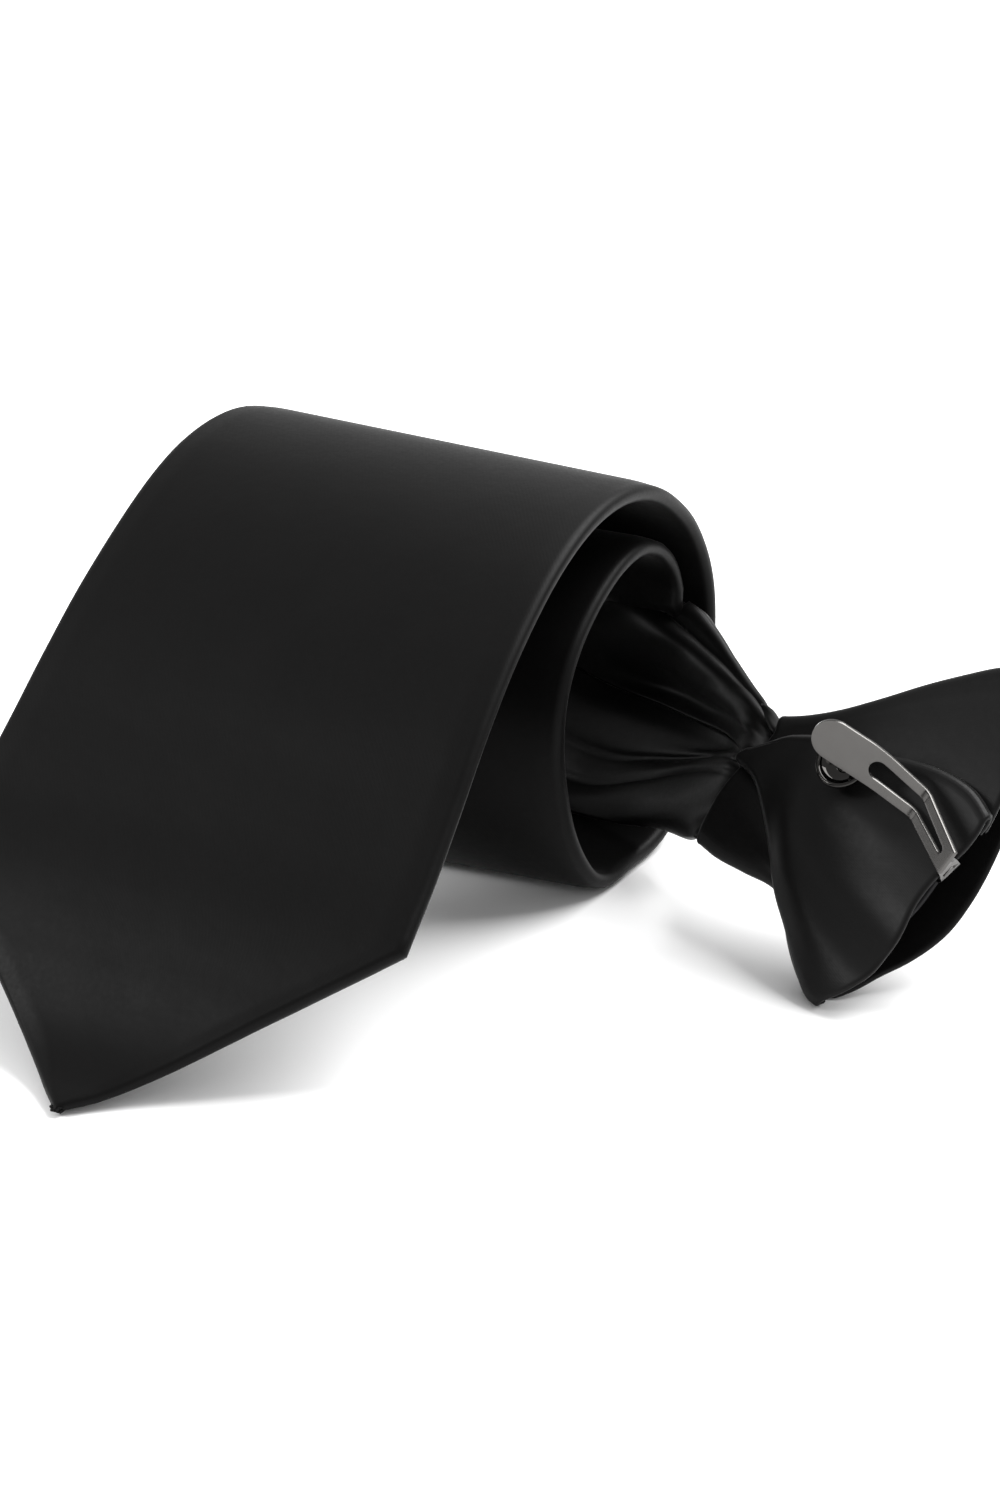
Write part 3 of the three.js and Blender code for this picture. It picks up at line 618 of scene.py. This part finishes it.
def front_height(x, v):
    """Height h of the front wall at share x of its half width, from -1 at the left to 1 at the right."""
    return SIDE_H - (FRONT_DEPTH + 0.4 * v + SIDE_H) * (1 - np.abs(x) ** FRONT_CURVE)


def knot_section(v):
    """One row of the knot cloth at share v of its height, from the flap's edge round to the band's end.

    It is a list of sections, each with its places w, their heights h and its number of grid columns.
    """
    k = KNOT_LOW + KNOT_HEIGHT * v
    e, l = edge_at(FLAP_EDGE, BACK_MOUTH, v), edge_at(LOBE_LEFT, BACK_MOUTH, v)
    left, right = edge_at(TUBE_LEFT, BACK_MOUTH, v), edge_at(BAND_RIGHT, BACK_MOUTH, v)
    e = max(e, l + 1.6)
    open_up = smooth((k - 2) / 14)
    hem = min(3.0, 0.3 * (e - l))
    flap_hem = ([e - hem, e - hem * 0.5, e - 0.5], [FLAP_H - 0.95, FLAP_H - 0.95, FLAP_H - 0.85], 4)
    x = np.linspace(-0.93, 0.93, 13)
    front = ((left + right) / 2 + (right - left) / 2 * x, front_height(x, v), 56)
    right_fold = ([right - 0.35, right - 0.05, right - 0.4], [-5.4, SIDE_H, -3.5], 8)
    end = min(8.4, e - 2.2, right - 3.6)
    t = np.array([0.06, 0.2, 0.4, 0.6, 0.8, 1.0])
    band = (right - 1.4 + (end - right + 1.4) * t, -3.1 + 0.35 * np.sin(np.pi * t) * open_up, 40)
    lobe = (*lobe_face(k, e, l, open_up), 44)
    return [flap_hem, lobe, *left_folds(k, l, left), front, right_fold, band]


ROW_POINTS = 2400
SEARCH_POINTS = 900


def knot_row(v):
    """The grid points (w, h) of one row, with each section's columns spread between its own ends."""
    sections = knot_section(v)
    flat = np.array([[a, b] for w, h, _ in sections for a, b in zip(w, h)])
    fine = spline(flat, ROW_POINTS)
    marks, at = [], 0
    for q in flat:
        window = fine[at:min(at + SEARCH_POINTS, ROW_POINTS)]
        at = at + int(np.argmin(((window - q) ** 2).sum(1)))
        marks.append(at)
    marks[0], marks[-1] = 0, ROW_POINTS - 1
    out, n = [], 0
    for w, _, cols in sections:
        first, last = marks[n], marks[min(n + len(w), len(marks) - 1)]
        n += len(w)
        out.append(np.linspace(first, last, cols, endpoint=False))
    index = np.append(np.concatenate(out), ROW_POINTS - 1)
    return pick(fine, np.arange(ROW_POINTS), index)


KNOT_ROWS = 76


def front_start(w):
    """Height of the front wall's lower edge, inside the neck."""
    return np.minimum(table(NECK_EDGE, w), FRONT_START)


def build_knot():
    """Middle surface of the knot cloth, in rows from the neck to the mouth."""
    grid = []
    for i in range(KNOT_ROWS):
        v = i / (KNOT_ROWS - 1)
        row = knot_row(v)
        w, h = row[:, 0], row[:, 1]
        front = smooth((-h - 1.0) / 4)
        mouth = curve_table(BACK_MOUTH, w) * (1 - front) + curve_table(FRONT_MOUTH, w) * front
        start = table(NECK_EDGE, w) * (1 - front) + front_start(w) * front
        k = start + (mouth - start) * v
        grid.append(knot_point(k, w, h))
    return np.array(grid)


knot = cloth("knot_satin", build_knot(), KNOT_THICK)


# ---- layers and stitches inside the blade -----------------------------------------
def blade_layer(name, first, last, width, depth, thickness):
    """A layer inside the blade from length first to last, width(s) to each side of its middle line."""
    across = np.linspace(-1, 1, 15)
    stations = np.linspace(first, last, int((last - first) / 2.5))
    rows = [blade_point(s, width(s) * across, depth) for s in stations]
    return cloth(name, np.array(rows), thickness)


def stitch(s, reach, slant):
    """One stitch across the seam on the back of the blade, bowed out a little over the cloth."""
    t = np.linspace(-1, 1, 7)
    bow = 0.16 * (1 - t**4)
    return np.array([blade_point(s + slant * a, reach * a, -BLADE_THICK - b) for a, b in zip(t, bow)])


def canvas_half(s):
    return half_width(s) - 2.8


def lining_half(s):
    return min(half_width(s) - 2.6, seam_gap(s) + 4)


canvas = blade_layer("blade_canvas", HEM, ROLL_END - 1, canvas_half, depth=-1.25, thickness=0.6)
lining = blade_layer("tip_lining_cloth", HEM, LINING_END, lining_half, depth=-1.93, thickness=0.16)
SEAM_STEP = 8.0
seam_run = np.arange(LINING_END + 14, ROLL_END - 6, SEAM_STEP)
seam_stitches = thread("seam_slip_stitches", [stitch(s, 0.9, 0.8) for s in seam_run], radius=0.13)
tack_run = LINING_END + 6 + np.linspace(-0.9, 0.9, 5)
tack = thread("bar_tack_threads", [stitch(s, 3.2, 0.1) for s in tack_run], radius=0.2, twist=2.5)


# ---- layers and threads inside the knot ------------------------------------------
def front_layer(name, reach, inset, low, high, thickness):
    """A layer inside the knot's front wall, over its middle: reach is the share of the half width it covers."""
    grid = []
    for v in np.linspace(low, high, 16):
        left, right = edge_at(TUBE_LEFT, BACK_MOUTH, v), edge_at(BAND_RIGHT, BACK_MOUTH, v)
        x = np.linspace(-reach, reach, 24)
        w = (left + right) / 2 + (right - left) / 2 * x
        start = front_start(w)
        k = start + (curve_table(FRONT_MOUTH, w) - start) * v
        grid.append(knot_point(k, w, front_height(x, v) + inset))
    return cloth(name, np.array(grid), thickness)


knot_canvas = front_layer("knot_canvas", reach=0.62, inset=1.5, low=0.24, high=0.82, thickness=0.6)
stiffener = front_layer("knot_stiffener", reach=0.70, inset=2.7, low=0.20, high=0.88, thickness=0.8)
turns = np.linspace(0, 6 * math.pi, 150)
wound = knot_point(3.0 + 0.09 * turns, NECK_MIDDLE + 9.6 * np.cos(turns), -6.3 + 3.0 * np.sin(turns))
winding = thread("gather_winding", [wound], radius=0.2, twist=2.5)
FLAP_STITCH_STEP = 3.2
flap_stitches = []
for k in np.arange(9.0, 34.0, FLAP_STITCH_STEP):
    edge = float(curve_table(FLAP_EDGE, k))
    t = np.linspace(0, 1, 5)
    flap_stitches.append(knot_point(k + 0.9 * t, edge - 0.5 + 0.9 * t, -1.95 - 0.55 * t))
flap_thread = thread("flap_slip_stitches", flap_stitches, radius=0.12)


# ---- materials --------------------------------------------------------------------
def new_material(name):
    """A material with its node tree and its main shader."""
    material = bpy.data.materials.new(name)
    material.use_nodes = True
    tree = material.node_tree
    return material, tree, tree.nodes["Principled BSDF"]


def noise(tree, scale, detail):
    """Noise fixed to the piece, as a value around 0.5."""
    place = tree.nodes.new("ShaderNodeTexCoord")
    node = tree.nodes.new("ShaderNodeTexNoise")
    node.inputs["Scale"].default_value = scale
    node.inputs["Detail"].default_value = detail
    tree.links.new(place.outputs["Object"], node.inputs["Vector"])
    return node.outputs["Fac"]


def vary_colour(tree, shader, value, base, spread, low=0.0, high=1.0):
    """Base colour a share darker where the value is low and the same share lighter where it is high."""
    node = tree.nodes.new("ShaderNodeValToRGB")
    first, last = node.color_ramp.elements
    first.position = low
    last.position = high
    first.color = (*(c * (1 - spread) for c in base), 1)
    last.color = (*(c * (1 + spread) for c in base), 1)
    tree.links.new(value, node.inputs["Fac"])
    tree.links.new(node.outputs["Color"], shader.inputs["Base Color"])


def vary_roughness(tree, shader, value, middle, spread, low=0.0, high=1.0):
    """Roughness from middle - spread where the value is low to middle + spread where it is high."""
    node = tree.nodes.new("ShaderNodeMapRange")
    node.inputs["From Min"].default_value = low
    node.inputs["From Max"].default_value = high
    node.inputs["To Min"].default_value = middle - spread
    node.inputs["To Max"].default_value = middle + spread
    tree.links.new(value, node.inputs["Value"])
    tree.links.new(node.outputs["Result"], shader.inputs["Roughness"])


def relief(tree, height, strength, depth_m, below=None):
    """The normal of a fine relief, on top of another relief where one is given."""
    node = tree.nodes.new("ShaderNodeBump")
    node.inputs["Strength"].default_value = strength
    node.inputs["Distance"].default_value = depth_m
    tree.links.new(height, node.inputs["Height"])
    if below is not None:
        tree.links.new(below, node.inputs["Normal"])
    return node.outputs["Normal"]


def maths(tree, kind, first, second=0.0):
    node = tree.nodes.new("ShaderNodeMath")
    node.operation = kind
    for socket, value in zip(node.inputs, (first, second)):
        if isinstance(value, (int, float)):
            socket.default_value = value
        else:
            tree.links.new(value, socket)
    return node.outputs[0]


YARN_MM = 0.2
TWILL_MM = 0.52
SATIN_BLACK = (0.0019, 0.0018, 0.0018)


def weave(tree):
    """Height of the satin's yarns and of the faint diagonal line across them, in the cloth's flat layout."""
    flat = tree.nodes.new("ShaderNodeUVMap")
    flat.uv_map = "UVMap"
    split = tree.nodes.new("ShaderNodeSeparateXYZ")
    tree.links.new(flat.outputs["UV"], split.inputs[0])
    across, along = split.outputs[0], split.outputs[1]
    yarns = maths(tree, "SINE", maths(tree, "MULTIPLY", across, 2 * math.pi / YARN_MM))
    diagonal = maths(tree, "ADD", across, maths(tree, "MULTIPLY", along, 0.5))
    twill = maths(tree, "SINE", maths(tree, "MULTIPLY", diagonal, 2 * math.pi / TWILL_MM))
    return maths(tree, "ADD", yarns, maths(tree, "MULTIPLY", twill, 0.8))


def satin_material(name, specular, roughness):
    """Black satin: yarns and slubs in relief, with soft clouds in its colour and surface."""
    material, tree, shader = new_material(name)
    cloud = noise(tree, scale=90, detail=4)
    slub = noise(tree, scale=1400, detail=3)
    height = maths(tree, "ADD", weave(tree), maths(tree, "MULTIPLY", slub, 1.6))
    fine = relief(tree, height, strength=0.05, depth_m=0.00006)
    tree.links.new(relief(tree, cloud, strength=0.25, depth_m=0.0006, below=fine), shader.inputs["Normal"])
    vary_colour(tree, shader, cloud, SATIN_BLACK, spread=0.14, low=0.3, high=0.7)
    vary_roughness(tree, shader, slub, roughness, spread=0.03, low=0.3, high=0.7)
    shader.inputs["Specular IOR Level"].default_value = specular
    shader.inputs["Sheen Weight"].default_value = 0.03
    shader.inputs["Sheen Roughness"].default_value = 0.35
    return material


def metal_material(name, base, roughness):
    material, tree, shader = new_material(name)
    cloud = noise(tree, scale=420, detail=5)
    vary_colour(tree, shader, cloud, base, spread=0.08)
    vary_roughness(tree, shader, cloud, roughness, spread=0.15 * roughness)
    tree.links.new(relief(tree, cloud, strength=0.05, depth_m=0.00005), shader.inputs["Normal"])
    shader.inputs["Metallic"].default_value = 1.0
    return material


def plain_material(name, base, roughness, grain, strength=0.2):
    """Cloth, thread or plastic with a fine grain of that scale."""
    material, tree, shader = new_material(name)
    speckle = noise(tree, scale=grain, detail=4)
    vary_colour(tree, shader, speckle, base, spread=0.2)
    tree.links.new(relief(tree, speckle, strength, depth_m=0.0001), shader.inputs["Normal"])
    shader.inputs["Roughness"].default_value = roughness
    shader.inputs["Specular IOR Level"].default_value = 0.25
    return material


satin = satin_material("black_satin_flat", specular=0.085, roughness=0.46)
pulled_satin = satin_material("black_satin_pulled", specular=0.14, roughness=0.43)
nickel = metal_material("black_nickel_satin", (0.092, 0.089, 0.086), roughness=0.2)
polish = metal_material("black_nickel_polished", (0.03, 0.029, 0.028), roughness=0.06)
canvas_cloth = plain_material("brushed_canvas", (0.55, 0.53, 0.48), roughness=0.95, grain=900, strength=0.6)
lining_cloth = plain_material("black_twill_lining", (0.006, 0.006, 0.006), roughness=0.5, grain=1500)
black_thread = plain_material("black_sewing_thread", (0.006, 0.006, 0.006), roughness=0.6, grain=2500)
black_plastic = plain_material("black_moulded_plastic", (0.012, 0.012, 0.013), roughness=0.5, grain=700)


# ---- collar clip ----------------------------------------------------------------------
CLIP_SIDE = unit([0.516, -0.033, 0.856])
CLIP_BEND = CLIP_ROOT + np.array([-7.83, 7.93, 5.03])
CLIP_SLOT = CLIP_ROOT + np.array([-15.18, 8.02, 9.47])
CLIP_TIP = CLIP_ROOT + np.array([-24.5, 5.94, 14.95])
CLIP_SHEET = 0.62
TAB_HALF = 3.45
BEND_RADIUS = 1.3
SLOT_BEND = 1.5
SLOT_HEEL = 2.2
HEEL_LENGTH = 0.6
HEEL_HALF = 0.65
MOUTH_HALF = 1.62
LEG_COLS = 7


def toward(a, b, gap):
    """The point gap mm from a on the way to b."""
    return a + unit(b - a) * gap


def clip_path(count):
    """Middle line of the spring arm, from its root over the bend to the tip of the tab."""
    points = [
        CLIP_ROOT, (CLIP_ROOT + CLIP_BEND) / 2,
        toward(CLIP_BEND, CLIP_ROOT, BEND_RADIUS * 1.3), toward(CLIP_BEND, CLIP_ROOT, BEND_RADIUS * 0.5),
        toward(CLIP_BEND, CLIP_SLOT, BEND_RADIUS * 0.5), toward(CLIP_BEND, CLIP_SLOT, BEND_RADIUS * 1.3),
        (CLIP_BEND + CLIP_SLOT) / 2,
        toward(CLIP_SLOT, CLIP_BEND, SLOT_BEND), toward(CLIP_SLOT, CLIP_TIP, SLOT_BEND),
        (CLIP_SLOT + CLIP_TIP) / 2, CLIP_TIP,
    ]
    return spline(points, count)


def round_off(x):
    """Height of a quarter circle of radius 1 at x, from 1 at x = 0 to 0 at x = 1."""
    return np.sqrt(np.maximum(1 - np.clip(x, 0, 1) ** 2, 0))


def quarter(steps):
    """Places from 0 to 1 that follow a quarter circle."""
    return np.sin(np.linspace(0, math.pi / 2, steps))


def build_clip():
    """The spring arm: two legs beside a slot that widens to a round mouth, then the round-ended tab."""
    fine = clip_path(1200)
    run = run_along(fine)
    length = run[-1]
    arm = np.linalg.norm(CLIP_BEND - CLIP_ROOT)
    slot_at = arm + np.linalg.norm(CLIP_SLOT - CLIP_BEND)
    slot_end = slot_at + 0.9
    mouth_from = slot_end - MOUTH_HALF
    heel_end = SLOT_HEEL + HEEL_LENGTH
    tip_centre = length - TAB_HALF
    stations = np.unique(np.round(np.concatenate([
        np.arange(0, SLOT_HEEL - 0.1, 0.5),
        heel_end - HEEL_LENGTH * quarter(5),
        np.arange(heel_end + 0.3, mouth_from - 0.2, 0.45),
        mouth_from + MOUTH_HALF * quarter(9),
        np.arange(slot_end + 0.35, tip_centre - 0.2, 0.5),
        tip_centre + TAB_HALF * quarter(15),
    ]), 4))
    half = np.interp(stations, [0, arm, slot_at, slot_at + 2, length], [2.35, 2.8, 3.35, TAB_HALF, TAB_HALF])
    half = half * np.maximum(round_off((stations - tip_centre) / TAB_HALF), 0.02)
    slot = np.interp(stations, [SLOT_HEEL, heel_end, arm, mouth_from], [0.55, HEEL_HALF, 1.2, MOUTH_HALF])
    slot = slot * round_off((stations - mouth_from) / MOUTH_HALF)
    slot = np.where(stations < heel_end, HEEL_HALF * round_off((heel_end - stations) / HEEL_LENGTH), slot)
    in_slot = (stations > SLOT_HEEL - 1e-3) & (stations < slot_end + 1e-3)
    slot = np.where(in_slot, slot, 0.0)
    leg_columns = [half * (1 - f) + slot * f for f in np.linspace(0, 1, LEG_COLS)]
    across = np.array([-column for column in leg_columns] + leg_columns[::-1]).T
    verts = pick(fine, run, stations)[:, None, :] + across[..., None] * CLIP_SIDE
    is_slot = slot > 1e-6
    return strip("clip_spring", verts, lambda r, c: c == LEG_COLS - 1 and (is_slot[r] or is_slot[r + 1]))


clip = build_clip()

# ---- button and rivet, each turned from a profile of [radius, height] rows ------------
button_low, button_high = (np.array(c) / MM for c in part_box("clip_button"))
button_centre = (button_low + button_high) / 2
BUTTON_HEIGHT = 3.2
BUTTON_SHIFT = -1.8 * KNOT_UP + 0.6 * KNOT_SIDE
button_base = button_centre - KNOT_BACK * BUTTON_HEIGHT / 2 + BUTTON_SHIFT
BUTTON_PROFILE = [
    [0.92, 0.0], [2.3, 0.0], [2.55, 0.12], [2.6, 0.4], [2.66, 1.0], [2.9, 1.45], [3.6, 1.95], [4.1, 2.4],
    [4.34, 2.8], [4.34, 3.15], [4.16, 3.4], [3.9, 3.46], [3.66, 3.3], [3.46, 2.95], [3.0, 2.45], [2.3, 2.1],
    [1.5, 1.9], [0.92, 1.82],
]
RIVET_PROFILE = [
    [0.0, -4.2], [1.4, -4.2], [1.5, -4.1], [1.5, -3.9], [1.4, -3.8], [0.8, -3.75], [0.8, 1.5], [1.3, 1.72],
    [1.46, 1.92], [1.32, 2.14], [0.8, 2.3], [0.0, 2.34],
]
WASHER_PROFILE = [
    [0.92, 0.0], [1.5, 0.0], [2.1, 0.0], [2.2, 0.1], [2.2, 0.3], [2.1, 0.4], [1.5, 0.4], [0.92, 0.4],
]
WASHER_DROP = 3.5


def rounded(profile, count):
    """A closed profile with its corners softened, at count points."""
    closed = np.array(profile + profile[:1], float)
    return resample(spline(closed, 400), count + 1)[:-1]


button = lathe("clip_stud", rounded(BUTTON_PROFILE, 72), button_base, KNOT_BACK, steps=96)
rivet = lathe("rivet", RIVET_PROFILE, button_base, KNOT_BACK, steps=48, ring=False)
washer = lathe("washer", WASHER_PROFILE, button_base - KNOT_BACK * WASHER_DROP, KNOT_BACK, steps=48)

WELD_GAP = 0.02
EDGE_ROUND = 0.09


def metal_sheet(obj):
    """Gives a surface of metal strip its thickness and its rounded edges."""
    weld = obj.modifiers.new("weld", "WELD")
    weld.merge_threshold = WELD_GAP * MM
    solid = obj.modifiers.new("sheet", "SOLIDIFY")
    solid.thickness = CLIP_SHEET * MM
    solid.offset = 0
    edge = obj.modifiers.new("edge", "BEVEL")
    edge.width = EDGE_ROUND * MM
    edge.segments = 3
    edge.limit_method = "ANGLE"
    edge.angle_limit = math.radians(50)
    return obj


def build_leg():
    """The clip's inner leg, from the hairpin over the knot's mouth down to the rivet and just past it."""
    rivet_place = button_base - KNOT_BACK * 2.5
    hairpin = [knot_point(39.5, -0.7, 3.4), knot_point(39.4, -0.8, 2.3), knot_point(39.15, -0.8, 0.8),
               knot_point(38.9, -0.9, -0.8), knot_point(38.0, -0.9, -2.3)]
    along = unit(rivet_place - hairpin[-1])
    reach = np.linalg.norm(rivet_place - hairpin[-1])
    down = [hairpin[-1] + along * reach * t for t in (0.3, 0.6, 0.9)] + [rivet_place + along * 3]
    centre = spline(hairpin + down, 70)
    run = run_along(centre)
    length = run[-1]
    turn = smooth(run / 5.0)[:, None]
    inner_side = unit(np.cross(along, KNOT_BACK))
    inner_side = inner_side * np.sign(inner_side.dot(KNOT_SIDE))
    side = unit(CLIP_SIDE * (1 - turn) + inner_side * turn)
    half = np.interp(run, [0, 4, 8, length - 1, length], [1.9, 1.9, 2.5, 2.5, 1.9])
    in_hole = np.abs(run - (length - 3)) < 1.1
    hole = np.ones(len(run))
    across = np.stack([-half, -half / 2, -hole, hole, half / 2, half], 1)
    verts = centre[:, None, :] + across[..., None] * side[:, None, :]
    return metal_sheet(strip("clip_leg", verts, lambda r, c: c == 2 and in_hole[r]))


leg = build_leg()
metal_sheet(clip)

# ---- what each piece stands for and how it moves ---------------------------------------
BLADE_PIECES = [
    (canvas, canvas_cloth, "interlining", "blade_interlining"),
    (lining, lining_cloth, "lining", "tip_lining"),
    (seam_stitches, black_thread, "thread", "seam_thread"),
    (tack, black_thread, "thread", "bar_tack"),
]
KNOT_PIECES = [
    (knot, pulled_satin, "satin", "knot_wrap"),
    (knot_canvas, canvas_cloth, "interlining", "knot_interlining"),
    (stiffener, black_plastic, "former", "knot_former"),
    (winding, black_thread, "thread", "gather_thread"),
    (flap_thread, black_thread, "thread", "flap_stitches"),
    (leg, nickel, "clip_steel", "clip_inner_leg"),
    (button, polish, "button_nickel", "clip_button"),
    (washer, nickel, "clip_steel", "rivet_washer"),
    (rivet, polish, "clip_steel", "rivet_post"),
]
CLIP_PIECES = [(clip, nickel, "clip_steel", "clip_arm")]
for body, group in (("rolled_blade", BLADE_PIECES), ("knot", KNOT_PIECES), ("clip", CLIP_PIECES)):
    for piece, material, slot, node in group:
        piece.data.materials.append(material)
        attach(piece, body)
        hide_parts(node)

blade.data.materials.append(satin)
blade.data.materials.append(pulled_satin)
# the pulled satin is shinier: it covers both faces of the rows past the roll
grid_rows, grid_cols = blade_grid.shape[:2]
pulled = np.repeat(np.arange(grid_rows - 1) >= rolled_rows - 1, grid_cols - 1).astype(np.int32)
finish = np.zeros(len(blade.data.polygons), np.int32)
finish[:2 * len(pulled)] = np.tile(pulled, 2)
blade.data.polygons.foreach_set("material_index", finish)
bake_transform(blade)
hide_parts("blade_shell", "neck_gathers")

# ---- studio -----------------------------------------------------------------------------
scene = bpy.context.scene
scene.view_settings.view_transform = "Standard"
world = bpy.data.worlds.new("studio")
scene.world = world
world.use_nodes = True
background = world.node_tree.nodes["Background"]
background.inputs["Color"].default_value = (1, 1, 1, 1)
background.inputs["Strength"].default_value = 0.75


def area_light(name, place, target, size, power):
    """A soft rectangular lamp at a place, turned to a target, in metres and watts."""
    data = bpy.data.lights.new(name, "AREA")
    data.shape = "RECTANGLE"
    data.size, data.size_y = size
    data.energy = power
    light = bpy.data.objects.new(name, data)
    light.location = place
    light.rotation_euler = (Vector(target) - Vector(place)).to_track_quat("-Z", "Y").to_euler()
    scene.collection.objects.link(light)


area_light("overhead", (0.5, 0.75, 1.25), (0, 0.05, 0), size=(1.3, 1.0), power=40)
area_light("front_left", (-1.1, -0.93, 0.88), (0.05, 0, 0.03), size=(0.4, 0.4), power=14)

bpy.ops.mesh.primitive_plane_add(size=8, location=(0, 0, -0.0002))
floor = bpy.context.object
floor.name = "floor"
floor_material, _, floor_shader = new_material("pale_floor")
floor_shader.inputs["Base Color"].default_value = (0.93, 0.93, 0.93, 1)
floor_shader.inputs["Roughness"].default_value = 0.9
floor_shader.inputs["Specular IOR Level"].default_value = 0.1
floor.data.materials.append(floor_material)

# the photograph's viewing angle
AZIMUTH = math.radians(28.07)
ELEVATION = math.radians(22.05)
CAMERA_FROM_CORE = np.array([263.84, -471.97, 236.03])
camera_data = bpy.data.cameras.new("camera")
camera_data.lens = 85
camera_data.sensor_width = 36
camera_data.clip_end = 20
camera = bpy.data.objects.new("camera", camera_data)
level = math.cos(ELEVATION)
back = Vector((math.sin(AZIMUTH) * level, -math.cos(AZIMUTH) * level, math.sin(ELEVATION)))
camera.location = (CORE + CAMERA_FROM_CORE) * MM
camera.rotation_euler = (-back).to_track_quat("-Z", "Y").to_euler()
scene.collection.objects.link(camera)
scene.camera = camera
